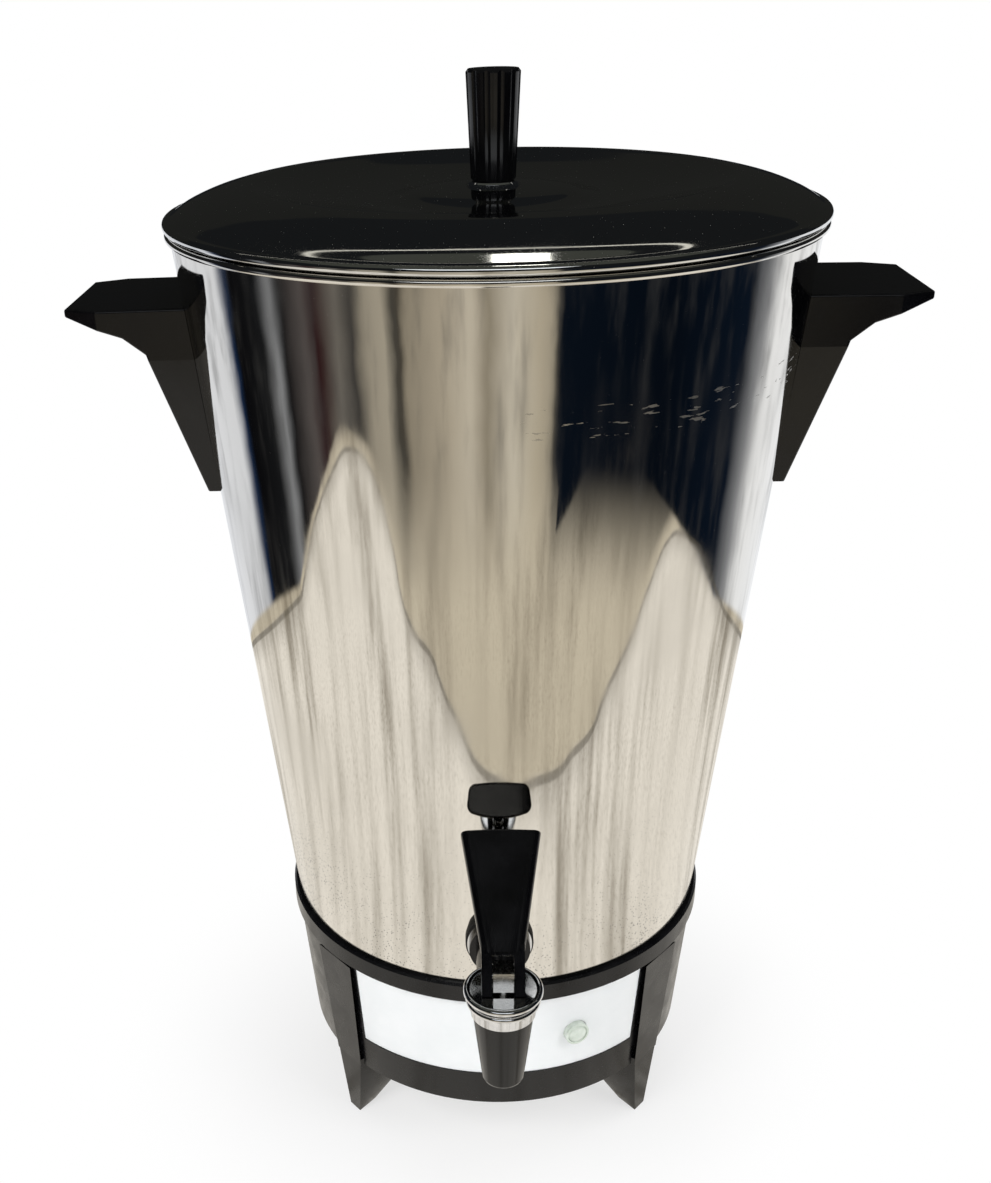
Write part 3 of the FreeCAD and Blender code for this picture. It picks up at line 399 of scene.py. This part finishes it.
# Black nitrile rubber of the seals, soft and matt.
SEAL_RUBBER = Finish("black_nitrile_rubber", "1A1A1A", "101010", 0.0, 0.5, 0.7, ior=1.52, grain_mm=3,
                     relief_mm=0.02, relief_grain_mm=0.6)
# Brown moulded body of the thermostat.
BROWN_MOULDING = Finish("brown_phenolic", "4A3526", "38261A", 0.0, 0.3, 0.5, grain_mm=4)
# Glass sleeving on the leads, off-white with a woven relief.
GLASS_SLEEVE = Finish("glass_sleeving", "D9D4C4", "BDB7A6", 0.0, 0.7, 0.85, grain_mm=1.2, relief_mm=0.08,
                      relief_grain_mm=0.5)
# Bright drawn stainless steel of the stem, pin and disc.
DRAWN_STAINLESS = Finish("drawn_stainless_steel", "C6C4C0", "A9A7A2", 1.0, 0.15, 0.3, grain_mm=2,
                         relief_mm=0.004, stroke=Stroke.AROUND)
# Plated brass contact pins.
PLATED_BRASS = Finish("plated_brass", "CDB26A", "A98F4C", 1.0, 0.2, 0.35, grain_mm=3, relief_mm=0.005)
# Moulded lens, cloudy greenish white.
LENS_PLASTIC = Finish("cloudy_lens_plastic", "E4ECE2", "CDD8CB", 0.0, 0.12, 0.25, ior=1.49, coat=0.4,
                      grain_mm=2.5, relief_mm=0.03, relief_grain_mm=1.4)
# Thin clear glass of the neon lamp.
LAMP_GLASS = Finish("lamp_glass", "F0C9A8", "E0A880", 0.0, 0.05, 0.1, ior=1.5, grain_mm=3)

SLOT_FINISH = {
    "polished_aluminium": POLISHED_ALUMINIUM, "satin_aluminium": SATIN_ALUMINIUM,
    "black_phenolic": GLOSS_PHENOLIC, "white_enamel": WHITE_ENAMEL, "lens_plastic": LENS_PLASTIC,
    "lamp_glass": LAMP_GLASS, "plated_steel": ZINC_PLATE, "element_sheath": HEATER_SHEATH,
    "thermostat_body": BROWN_MOULDING, "wire_sleeve": GLASS_SLEEVE, "brass_pins": PLATED_BRASS,
    "seal_rubber": SEAL_RUBBER, "chrome_trim": CHROME, "stainless_stem": DRAWN_STAINLESS}
NODE_FINISH = {"base_moulding": WORN_PHENOLIC, "inlet_housing": WORN_PHENOLIC, "lid_shell": LID_ALUMINIUM}


class Finishes:
    """Every finish, each built once."""

    def __init__(self) -> None:
        """Starts with none built."""
        self.built: dict[str, bpy.types.Material] = {}

    def get(self, finish: AnyFinish) -> bpy.types.Material:
        """Builds a finish once.

        Args:
            finish: the finish.
        Returns:
            Its material.
        """
        if finish.name not in self.built:
            self.built[finish.name] = finish.build()
        return self.built[finish.name]

    def dress(self, piece: bpy.types.Object, finish: AnyFinish) -> None:
        """Puts a finish in every slot of a piece.

        Args:
            piece: the piece.
            finish: its finish.
        """
        material = self.get(finish)
        if not piece.data.materials:
            piece.data.materials.append(material)
        for slot in piece.material_slots:
            slot.material = material


FINISHES = Finishes()


def dress_frame() -> None:
    """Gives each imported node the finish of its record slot, or its own."""
    slots = {s["node"]: s["material_slot"] for s in frame["record"]["subparts"]}
    for name, piece in frame["nodes"].items():
        FINISHES.dress(piece, NODE_FINISH.get(name, SLOT_FINISH[slots[name]]))
        LOG.info("dressed %s", name)


def arc(centre: tuple[float, float], radius: float, start: float, end: float, count: int) -> list:
    """Points of a round stretch of an outline.

    Args:
        centre: its centre as radius and height.
        radius: its radius.
        start, end: angles in degrees, zero pointing outwards and 90 up.
        count: how many steps.
    Returns:
        Points as radius and height.
    """
    angles = [math.radians(start + (end - start) * i / count) for i in range(count + 1)]
    return [(centre[0] + radius * math.cos(a), centre[1] + radius * math.sin(a)) for a in angles]


def curve(points: PROFILE, count: int) -> list:
    """Smooth stretch of an outline through points.

    Args:
        points: places that the outline passes, as radius and height.
        count: steps between two of them.
    Returns:
        Points of a centripetal spline.
    """
    pts = [Vector(p) for p in points]
    pts = [pts[0] * 2 - pts[1]] + pts + [pts[-1] * 2 - pts[-2]]
    out = []
    for i in range(1, len(pts) - 2):
        a, b, c, d = pts[i - 1:i + 3]
        for k in range(count):
            t = k / count
            out.append(tuple(0.5 * ((2 * b) + (c - a) * t + (2 * a - 5 * b + 4 * c - d) * t * t
                                    + (3 * b - a - 3 * c + d) * t ** 3)))
    return out + [tuple(pts[-2])]


def active_mesh(name: str) -> bpy.types.Object:
    """Names the new primitive and its mesh.

    Args:
        name: the piece's name.
    Returns:
        The primitive's object.
    """
    piece = bpy.context.active_object
    piece.name = name
    piece.data.name = name
    return piece


def settle(piece: bpy.types.Object, smooth_deg: float = 35.0) -> bpy.types.Object:
    """Puts a piece's place in its mesh, points its faces outwards and smooths it by angle.

    Args:
        piece: the piece.
        smooth_deg: edges sharper than this stay sharp.
    Returns:
        The piece.
    """
    bpy.ops.object.mode_set(mode="EDIT")
    bpy.ops.mesh.select_all(action="SELECT")
    bpy.ops.mesh.remove_doubles(threshold=1e-6)
    bpy.ops.mesh.normals_make_consistent(inside=False)
    bpy.ops.object.mode_set(mode="OBJECT")
    bpy.ops.object.transform_apply(location=True, rotation=True, scale=True)
    bpy.ops.object.shade_smooth_by_angle(angle=math.radians(smooth_deg))
    return piece


def turn(name: str, outline: PROFILE, centre: tuple[float, float] = (0.0, 0.0),
         segments: int = 192) -> bpy.types.Object:
    """Models a turned piece by pulling a circle along an outline.

    Args:
        name: the piece's name.
        outline: closed outline as radius and height in millimetres; ends on the axis are closed.
        centre: where its axis stands, in millimetres.
        segments: how many sides the circle has.
    Returns:
        The piece.
    """
    bpy.ops.object.select_all(action="DESELECT")
    x, y = centre[0] * MM, centre[1] * MM
    least = 0.02
    r0, z0 = max(outline[0][0], least), outline[0][1]
    bpy.ops.mesh.primitive_circle_add(vertices=segments, radius=r0 * MM, fill_type="NOTHING",
                                      location=(x, y, z0 * MM))
    piece = active_mesh(name)
    bpy.ops.object.mode_set(mode="EDIT")
    bpy.ops.mesh.select_all(action="SELECT")
    last_r, last_z = r0, z0
    for r, z in outline[1:]:
        r = max(r, least)
        bpy.ops.mesh.extrude_region_move(
            TRANSFORM_OT_translate={"value": (0.0, 0.0, (z - last_z) * MM)})
        scale = r / last_r
        bpy.ops.transform.resize(value=(scale, scale, 1.0), center_override=(x, y, z * MM))
        last_r, last_z = r, z
    bpy.ops.mesh.select_all(action="SELECT")
    bpy.ops.mesh.remove_doubles(threshold=least * MM * 0.5)
    bpy.ops.mesh.select_all(action="DESELECT")
    bpy.ops.mesh.select_non_manifold(extend=False)
    if any(v.select for v in piece_verts(piece)):
        bpy.ops.mesh.edge_face_add()
    return settle(piece)


def piece_verts(piece: bpy.types.Object) -> Sequence[bpy.types.MeshVertex]:
    """Reads a piece's corners as edit mode last left them.

    Args:
        piece: the piece that is in edit mode.
    Returns:
        Its corners.
    """
    piece.update_from_editmode()
    return piece.data.vertices


def place(piece: bpy.types.Object, finish: AnyFinish, body: str, slot: str,
          *nodes: str) -> bpy.types.Object:
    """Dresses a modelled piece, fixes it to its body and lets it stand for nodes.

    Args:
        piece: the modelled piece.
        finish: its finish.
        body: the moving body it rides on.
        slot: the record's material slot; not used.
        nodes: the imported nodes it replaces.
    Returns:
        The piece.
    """
    FINISHES.dress(piece, finish)
    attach(piece, body)
    if nodes:
        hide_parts(*nodes)
    LOG.info("%s: %d faces", piece.name, len(piece.data.polygons))
    return piece


def box_mm(node_name: str) -> tuple[Vector, Vector]:
    """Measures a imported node.

    Args:
        node_name: the node's name.
    Returns:
        Its low and high corners in millimetres.
    """
    low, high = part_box(node_name)
    return Vector(low) / MM, Vector(high) / MM


@dataclass
class Can:
    """The tapered can with its rolled rim and flat floor, in millimetres.

    Args:
        foot_r, foot_z: outer radius and height where the taper starts.
        lean: how much the radius grows per height.
        wall: the sheet's thickness.
        rim_r: radius of the rolled rim.
        cup_r: radius of the hole for the well's cup.
        tuck: how far the foot is tucked in below the taper.
        floor_r: radius of the bend between wall and floor.
        rings: how many rings the wall has.
    """

    foot_r: float = 79.1
    foot_z: float = 87.7
    lean: float = 0.0996
    wall: float = 1.0
    rim_r: float = 1.2
    cup_r: float = 21.1
    tuck: float = 0.1
    floor_r: float = 2.4
    rings: int = 24

    def wall_r(self, z: float) -> float:
        """Outer radius of the wall.

        Args:
            z: the height.
        Returns:
            The radius there.
        """
        return self.foot_r + self.lean * (z - self.foot_z)

    def build(self) -> None:
        """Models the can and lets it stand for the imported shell."""
        low, high = box_mm("body_shell")
        rim_z, rim_c = high.z - self.rim_r, high.x - self.rim_r
        floor_z = low.z + self.wall
        heights = [self.foot_z + (rim_z - 1.0 - self.foot_z) * i / self.rings for i in range(self.rings + 1)]
        tuck_r = self.foot_r - self.tuck
        outline = [(self.cup_r, low.z), (tuck_r, low.z), (tuck_r, self.foot_z - self.tuck),
                   *((self.wall_r(z), z) for z in heights), *arc((rim_c, rim_z), self.rim_r, -70, 190, 14),
                   *((self.wall_r(z) - self.wall, z) for z in reversed(heights)),
                   *arc((tuck_r - self.wall - self.floor_r, floor_z + self.floor_r), self.floor_r, 0, -90, 5),
                   (self.cup_r, floor_z)]
        place(turn("can", outline, segments=256), POLISHED_ALUMINIUM, "urn", "polished_aluminium", "body_shell")


@dataclass
class Lid:
    """The spun lid with its domed boss, dish, creased ridge and rolled bead, in millimetres.

    Args:
        bead_r: radius of the rolled bead.
        inset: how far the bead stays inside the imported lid.
        wall: the sheet's thickness.
        boss_z, boss_r: height and radius of the boss.
        dish_z, dish_r: height and radius of the dish's lowest ring.
        ridge_r, ridge_z: radius and height of the ridge.
    """

    bead_r: float = 1.6
    inset: float = 0.02
    wall: float = 1.0
    boss_z: float = 347.0
    boss_r: float = 28.0
    dish_z: float = 343.6
    dish_r: float = 35.0
    ridge_r: float = 77.0
    ridge_z: float = 349.6

    def top_line(self, edge_r: float, edge_z: float) -> list:
        """Upper outline from the middle to the bead.

        Args:
            edge_r, edge_z: where the sheet meets the bead.
        Returns:
            Points as radius and height.
        """
        boss = curve([(9.0, self.boss_z), (18.0, self.boss_z - 0.35), (self.boss_r - 3, self.boss_z - 1.1),
                      (self.boss_r + 1, self.boss_z - 2.4), (self.dish_r, self.dish_z)], 6)
        dish = curve([(self.dish_r, self.dish_z), (46.0, self.dish_z + 0.5), (60.0, self.dish_z + 2.3),
                      (self.ridge_r - 4, self.ridge_z - 0.9), (self.ridge_r - 1, self.ridge_z - 0.1)], 6)
        slope = curve([(self.ridge_r + 1, self.ridge_z - 0.1), (84.0, self.ridge_z - 0.9),
                       (92.0, self.ridge_z - 2.9), (99.0, self.ridge_z - 5.6), (edge_r, edge_z)], 8)
        return [(0.0, self.boss_z), *boss, *dish[1:], *slope]

    def build(self) -> None:
        """Models the lid's sheet with its rolled bead."""
        low, high = box_mm("lid_shell")
        bead_c = (high.x - self.bead_r - self.inset, low.z + self.bead_r)
        top = self.top_line(bead_c[0] - 0.6, bead_c[1] + self.bead_r)
        under = [(r, z - self.wall) for r, z in reversed(top[:-2])]
        outline = [*top, *arc(bead_c, self.bead_r, 88, -190, 18), *under]
        place(turn("lid_sheet", outline, segments=256), LID_ALUMINIUM, "lid", "polished_aluminium", "lid_shell")


@dataclass
class Lens:
    """The pilot lamp's moulded lens with its groove and shallow dome, in millimetres.

    Args:
        deep: how far it reaches into the panel.
        edge: width of each of the two rings round its rounded edge.
        edge_rise: how much the first of them stands out.
        groove_r: radius inside the groove.
        groove_deep: the groove's depth.
        groove_wide: its width.
        dome: how much the middle stands out.
    """

    deep: float = 5.0
    edge: float = 0.4
    edge_rise: float = 0.3
    groove_r: float = 3.7
    groove_deep: float = 0.5
    groove_wide: float = 0.7
    dome: float = 0.35

    def build(self) -> None:
        """Models the lens on its own axis and turns it to its place on the panel."""
        low, high = box_mm("pilot_lens")
        bearing = math.atan2((low.x + high.x) / 2, -(low.y + high.y) / 2)
        radius = (high.z - low.z) / 2
        out = max(math.hypot(high.x - radius * math.cos(bearing), low.y + radius * math.sin(bearing)), radius)
        face_out = Vector((math.sin(bearing), -math.cos(bearing), 0.0))
        middle = face_out * (out - self.deep / 2)
        middle.z = (low.z + high.z) / 2
        bpy.ops.object.select_all(action="DESELECT")
        bpy.ops.mesh.primitive_cylinder_add(vertices=64, radius=radius * MM, depth=self.deep * MM,
                                            location=middle * MM, rotation=(math.radians(90), 0.0, bearing))
        piece = active_mesh("lens")
        bpy.ops.object.mode_set(mode="EDIT")
        bpy.ops.mesh.select_all(action="DESELECT")
        bpy.ops.object.mode_set(mode="OBJECT")
        for face in piece.data.polygons:
            facing = (piece.matrix_world.to_3x3() @ face.normal).dot(face_out)
            face.select = len(face.vertices) > 4 and facing > 0.9
        bpy.ops.object.mode_set(mode="EDIT")
        rings = ((self.edge, self.edge_rise), (self.edge, 0.0),
                 (radius - self.groove_r - self.groove_wide, -self.groove_deep),
                 (self.groove_wide / 2, self.groove_deep), (1.0, self.dome * 0.6), (1.2, self.dome * 0.4))
        for thick, rise in rings:
            bpy.ops.mesh.inset(thickness=thick * MM, depth=0.0)
            bpy.ops.transform.translate(value=face_out * rise * MM)
        place(settle(piece, 50.0), LENS_PLASTIC, "urn", "lens_plastic", "pilot_lens")


@dataclass
class Surroundings:
    """What the metal mirrors, a painted reflection that the floor shows to glossy rays only: a pale cloth by the
    urn, a hanging drape in front and dark furniture beyond.

    Bearings are degrees from the front, positive to the right, and reaches are millimetres from the urn's axis.

    Args:
        cloth, cloth_fold_shade: hex colours of the cloth and of the painted shade in its folds.
        drape, drape_fold_shade: hex colours of the drape and of the painted shade in its folds.
        under_hem, hem_edge_shade: hex colours of the shade under the hem and of the painted shade along its edge.
        hem_reach: how far the drape's hem is, by bearing.
        dark_reach: how far the dark things beyond are, by bearing.
        far_bands: hex colours beyond them, by bearing.
        hem_edge_shade_half_m: half the width of the painted shade along the hem's edge.
        hem_shade_m: where the shade under the hem starts and ends, seen from the hem.
        beyond_m: distances over which the drape turns into what is beyond it.
    """

    cloth: str = "F1ECE3"
    cloth_fold_shade: str = "8F887B"
    drape: str = "CFC6B3"
    drape_fold_shade: str = "8F8675"
    under_hem: str = "6B655A"
    hem_edge_shade: str = "5E584C"
    hem_reach: tuple[tuple[float, float], ...] = (
        (-180, 420), (-85, 470), (-60, 640), (-45, 610), (-36, 450), (-24, 380), (-12, 312), (2, 285),
        (16, 286), (30, 302), (43, 345), (58, 440), (72, 545), (110, 460), (180, 430))
    dark_reach: tuple[tuple[float, float], ...] = (
        (-180, 420), (-85, 480), (-56, 700), (-44, 640), (-36, 3000), (17, 3000), (21, 520),
        (33, 620), (43, 670), (50, 620), (58, 600), (72, 556), (100, 470), (180, 440))
    far_bands: tuple[tuple[float, str], ...] = (
        (-180, "E8EAEE"), (-112, "DDE0E6"), (-106, "1A2C4A"), (-103, "0A0A0C"), (-88, "17181A"),
        (-82, "8A8C90"), (-78, "0E0E10"), (-68, "55504F"), (-63, "2A1013"), (-55, "6E6A64"),
        (-49, "3C3A38"), (-44, "9A9385"), (-38, "A69F90"), (-33, "111111"), (-30, "8E8677"),
        (-18, "ABA291"), (-9, "C4BCAC"), (-3, "8F8777"), (5, "C9C2B3"), (14, "B4AB98"),
        (18, "A39B8A"), (20, "0A111B"), (60, "060C15"), (96, "0C1522"), (106, "8A8C90"),
        (116, "F0F2F5"), (180, "F0F2F5"))
    hem_edge_shade_half_m: float = 0.004
    hem_shade_m: tuple[float, float] = (-0.045, -0.002)
    beyond_m: tuple[float, float] = (0.42, 0.62)

    def bearing_ramp(self, tree: bpy.types.NodeTree, turned: bpy.types.NodeSocket, stops: Sequence,
                     joining: str = "LINEAR") -> bpy.types.NodeSocket:
        """Value or colour by bearing.

        Args:
            tree: the tree.
            turned: bearing from zero to one for a whole turn.
            stops: bearings in degrees with a reach or a hex colour.
            joining: how the ramp runs between two stops.
        Returns:
            The ramp's socket, where a reach is a share of REACH_UNIT_M.
        """
        placed = [((d + 180) / 360, linear(v) if isinstance(v, str) else grey(v * MM / REACH_UNIT_M))
                  for d, v in stops]
        return ramp(tree, turned, placed, joining)

    def paint(self, tree: bpy.types.NodeTree) -> bpy.types.NodeSocket:
        """Colours the table's plane for what reflects it.

        Args:
            tree: the floor's tree.
        Returns:
            The colour socket.
        """
        spot = node(tree, "ShaderNodeTexCoord").outputs["Object"]
        axes = node(tree, "ShaderNodeSeparateXYZ", links={0: spot})
        away = node(tree, "ShaderNodeVectorMath", {"operation": "LENGTH"}, {0: spot}).outputs["Value"]
        angle = calc(tree, "ARCTAN2", axes.outputs["X"], calc(tree, "MULTIPLY", axes.outputs["Y"], -1.0))
        turned = calc(tree, "ADD", calc(tree, "DIVIDE", angle, 2 * math.pi), 0.5)
        polar_spot = node(tree, "ShaderNodeCombineXYZ",
                          links={0: turned, 1: calc(tree, "MULTIPLY", away, 0.06)}).outputs[0]
        folds = node(tree, "ShaderNodeTexNoise", {"Scale": 55.0, "Detail": 6.0, "Roughness": 0.62},
                     {"Vector": polar_spot}).outputs["Fac"]
        wide = node(tree, "ShaderNodeTexNoise", {"Scale": 14.0, "Detail": 4.0},
                    {"Vector": polar_spot}).outputs["Fac"]
        waver = node(tree, "ShaderNodeTexNoise", {"Scale": 9.0, "Detail": 4.0}, {"Vector": spot}).outputs["Fac"]
        wavy = calc(tree, "ADD", turned, calc(tree, "MULTIPLY", calc(tree, "SUBTRACT", waver, 0.5), 0.012))
        weave = node(tree, "ShaderNodeTexNoise", {"Scale": 260.0, "Detail": 5.0, "Roughness": 0.7},
                     {"Vector": spot}).outputs["Fac"]
        # Painted shade in the folds of the cloth and the drape, with the weave's grain mixed in.
        shade = calc(tree, "MULTIPLY", spread(tree, folds, 0.40, 0.74), spread(tree, wide, 0.30, 0.62))
        shade = calc(tree, "ADD", shade, calc(tree, "MULTIPLY", spread(tree, weave, 0.46, 0.72), 0.5))
        near = blend(tree, shade, plain(tree, self.cloth), linear(self.cloth_fold_shade))
        far = self.bearing_ramp(tree, wavy, self.far_bands)
        # Painted shade in the folds, laid over what lies beyond.
        far = blend(tree, calc(tree, "MULTIPLY", spread(tree, folds, 0.45, 0.75), 0.45), far, grey(0.06))
        hem = calc(tree, "MULTIPLY", self.bearing_ramp(tree, wavy, self.hem_reach, "CARDINAL"), REACH_UNIT_M)
        dark = calc(tree, "MULTIPLY", self.bearing_ramp(tree, wavy, self.dark_reach), REACH_UNIT_M)
        drape = blend(tree, shade, plain(tree, self.drape), linear(self.drape_fold_shade))
        past_hem = calc(tree, "SUBTRACT", away, hem)
        # Painted shade in a thin band along the hem's edge.
        off_hem_edge = calc(tree, "ABSOLUTE", calc(tree, "ADD", past_hem, self.hem_edge_shade_half_m))
        hem_edge_shade_mask = calc(tree, "LESS_THAN", off_hem_edge, self.hem_edge_shade_half_m)
        under = spread(tree, past_hem, *self.hem_shade_m)
        near = blend(tree, calc(tree, "MULTIPLY", under, 0.35), near, linear(self.under_hem))
        colour = blend(tree, spread(tree, past_hem, -0.003, 0.003), near, drape)
        upper = spread(tree, away, *self.beyond_m)
        colour = blend(tree, calc(tree, "MULTIPLY", upper, spread(tree, past_hem, 0.0, 0.05)), colour, far)
        colour = blend(tree, spread(tree, calc(tree, "SUBTRACT", away, dark), -0.006, 0.006), colour, far)
        # Lays the painted shade along the hem's edge over everything.
        return blend(tree, calc(tree, "MULTIPLY", hem_edge_shade_mask, 0.6), colour, linear(self.hem_edge_shade))


@dataclass
class Studio:
    """Pale floor, soft light, mirrored cards and camera.

    Args:
        eye: where the camera is, in millimetres.
        pan_deg, tilt_deg, roll_deg: how it is turned.
        focal_px: its focal length in pixels of the photograph.
        frame_px: the photograph's width and height.
        centre_px: where the lens's axis meets the photograph.
        floor_m: the floor's side.
        shadow: how much of the soft shadow is kept.
        mirrored: strength of what the metal mirrors from the floor.
    """

    eye: tuple[float, float, float] = (-10.8, -477.5, 409.7)
    pan_deg: float = -2.217
    tilt_deg: float = 28.332
    roll_deg: float = -1.724
    focal_px: float = 1405.1
    frame_px: tuple[int, int] = (991, 1183)
    centre_px: tuple[float, float] = (417.9, 721.2)
    floor_m: float = 8.0
    shadow: float = 0.35
    mirrored: float = 1.08

    def camera(self) -> None:
        """Stands the camera where the photographer stood."""
        data = bpy.data.cameras.new("camera")
        camera = bpy.data.objects.new("camera", data)
        bpy.context.scene.collection.objects.link(camera)
        pan, tilt, roll = (math.radians(a) for a in (self.pan_deg, self.tilt_deg, self.roll_deg))
        ahead = Vector((math.sin(pan) * math.cos(tilt), math.cos(pan) * math.cos(tilt), -math.sin(tilt)))
        right = Vector((math.cos(pan), -math.sin(pan), 0.0))
        up = right.cross(ahead)
        side = math.cos(roll) * right + math.sin(roll) * up
        top = -math.sin(roll) * right + math.cos(roll) * up
        turned = Matrix((side, top, -ahead)).transposed().to_4x4()
        camera.matrix_world = Matrix.Translation(Vector(self.eye) * MM) @ turned
        width, height = self.frame_px
        data.sensor_width = 36.0
        data.lens = self.focal_px / height * data.sensor_width
        data.shift_x = (width / 2 - self.centre_px[0]) / height
        data.shift_y = (self.centre_px[1] - height / 2) / height
        data.clip_start = 0.01
        bpy.context.scene.camera = camera

    def floor(self) -> None:
        """Lays a white floor that keeps the urn's soft shadow and glows, to glossy rays only, with the painted
        reflection of its surroundings.
        """
        bpy.ops.object.select_all(action="DESELECT")
        bpy.ops.mesh.primitive_plane_add(size=self.floor_m, location=(0.0, 0.0, 0.0))
        floor = active_mesh("floor")
        material = bpy.data.materials.new("white_table_and_painted_reflection")
        material.use_nodes = True
        tree = material.node_tree
        tree.nodes.clear()
        spot = node(tree, "ShaderNodeTexCoord").outputs["Object"]
        away = node(tree, "ShaderNodeVectorMath", {"operation": "LENGTH"}, {0: spot}).outputs["Value"]
        matt = node(tree, "ShaderNodeBsdfDiffuse", {"Color": linear("F2F2F2")}).outputs[0]
        clean = node(tree, "ShaderNodeEmission", {"Color": grey(1.0), "Strength": 1.0}).outputs[0]
        near = calc(tree, "SUBTRACT", 1.0, spread(tree, away, 0.07, 0.17))
        shadowed = calc(tree, "SUBTRACT", 1.0, calc(tree, "MULTIPLY", near, self.shadow))
        seen = node(tree, "ShaderNodeMixShader", links={0: shadowed, 1: matt, 2: clean}).outputs[0]
        # Painted reflection: the floor glows with the painted surroundings for glossy rays only.
        mirrored = node(tree, "ShaderNodeEmission", {"Strength": self.mirrored},
                        {"Color": Surroundings().paint(tree)}).outputs[0]
        path = node(tree, "ShaderNodeLightPath").outputs
        bounced = node(tree, "ShaderNodeMixShader",
                       links={0: path["Is Glossy Ray"], 1: matt, 2: mirrored}).outputs[0]
        mixed = node(tree, "ShaderNodeMixShader", links={0: path["Is Camera Ray"], 1: bounced, 2: seen}).outputs[0]
        node(tree, "ShaderNodeOutputMaterial", links={"Surface": mixed})
        floor.data.materials.append(material)

    def world(self) -> None:
        """Fills the room with an even pale light, white behind the urn."""
        world = bpy.data.worlds.new("room")
        bpy.context.scene.world = world
        world.use_nodes = True
        tree = world.node_tree
        tree.nodes.clear()
        room = node(tree, "ShaderNodeBackground", {"Color": linear("E6E6E6"), "Strength": 0.5}).outputs[0]
        white = node(tree, "ShaderNodeBackground", {"Color": grey(1.0), "Strength": 1.0}).outputs[0]
        dusk = node(tree, "ShaderNodeBackground", {"Color": linear("26282A"), "Strength": 0.5}).outputs[0]
        path = node(tree, "ShaderNodeLightPath").outputs
        bounced = node(tree, "ShaderNodeMixShader", links={0: path["Is Glossy Ray"], 1: room, 2: dusk}).outputs[0]
        mixed = node(tree, "ShaderNodeMixShader",
                     links={0: path["Is Camera Ray"], 1: bounced, 2: white}).outputs[0]
        node(tree, "ShaderNodeOutputWorld", links={"Surface": mixed})

    def lamp(self, name: str, place_m: tuple[float, float, float], target_m: tuple[float, float, float],
             size_m: float, watts: float) -> None:
        """Hangs one soft square lamp.

        Args:
            name: the lamp's name.
            place_m: where it hangs.
            target_m: what it points at.
            size_m: its side.
            watts: its power.
        """
        data = bpy.data.lights.new(name, "AREA")
        data.shape = "SQUARE"
        data.size = size_m
        data.energy = watts
        lamp = bpy.data.objects.new(name, data)
        bpy.context.scene.collection.objects.link(lamp)
        lamp.location = place_m
        lamp.visible_glossy = False
        lamp.rotation_euler = (Vector(target_m) - Vector(place_m)).to_track_quat("-Z", "Y").to_euler()

    def card(self, name: str, place_m: tuple[float, float, float], size_m: tuple[float, float], code: str,
             power: float, upright: bool = False) -> None:
        """Hangs a glowing card that only the metal mirrors.

        Args:
            name: the card's name.
            place_m: its middle.
            size_m: its width and depth.
            code: its hex colour.
            power: its strength.
            upright: stands on its edge, facing the urn, instead of lying level.
        """
        bpy.ops.object.select_all(action="DESELECT")
        bpy.ops.mesh.primitive_plane_add(size=1.0, location=place_m,
                                         rotation=(math.radians(90) if upright else 0.0, 0.0, 0.0))
        card = active_mesh(name)
        card.scale = (size_m[0], size_m[1], 1.0)
        bpy.ops.object.transform_apply(location=True, rotation=True, scale=True)
        material = bpy.data.materials.new(name + "_glow")
        material.use_nodes = True
        tree = material.node_tree
        tree.nodes.clear()
        glow = node(tree, "ShaderNodeEmission", {"Color": linear(code), "Strength": power}).outputs[0]
        node(tree, "ShaderNodeOutputMaterial", links={"Surface": glow})
        card.data.materials.append(material)
        card.visible_camera = card.visible_diffuse = card.visible_shadow = False

    def build(self) -> None:
        """Sets the whole studio."""
        self.camera()
        self.floor()
        self.world()
        middle = (0.0, 0.0, 0.2)
        self.lamp("key_lamp", (-1.1, -1.2, 1.6), middle, 0.9, 26.0)
        self.lamp("fill_lamp", (1.3, -0.8, 1.2), middle, 0.8, 12.0)
        self.lamp("top_lamp", (0.2, 0.3, 1.9), middle, 1.2, 16.0)
        self.card("ceiling", (0.0, -0.6, 2.3), (5.0, 2.6), "5C5E57", 0.5)
        self.card("light_strip", (0.0, 0.98, 2.2), (5.0, 0.07), "F4F0E4", 0.9)
        self.card("ceiling_lamp", (0.14, 0.42, 2.1), (0.26, 0.2), "FFFDF4", 7.0)
        self.card("front_window", (-0.2, -3.0, 2.2), (3.0, 1.5), "EEF2F6", 1.6)
        self.card("far_wall", (0.0, 3.0, 1.15), (7.0, 1.5), "4E4F4C", 0.2, upright=True)
        bpy.context.scene.view_settings.view_transform = "Standard"


def main() -> None:
    """Dresses the imported pieces and builds every class in order."""
    logging.basicConfig(level=logging.INFO)
    dress_frame()
    for part in (Can(), Lid(), Lens(), Studio()):
        part.build()
        LOG.info("built %s", type(part).__name__)


if __name__ == "__main__":
    main()
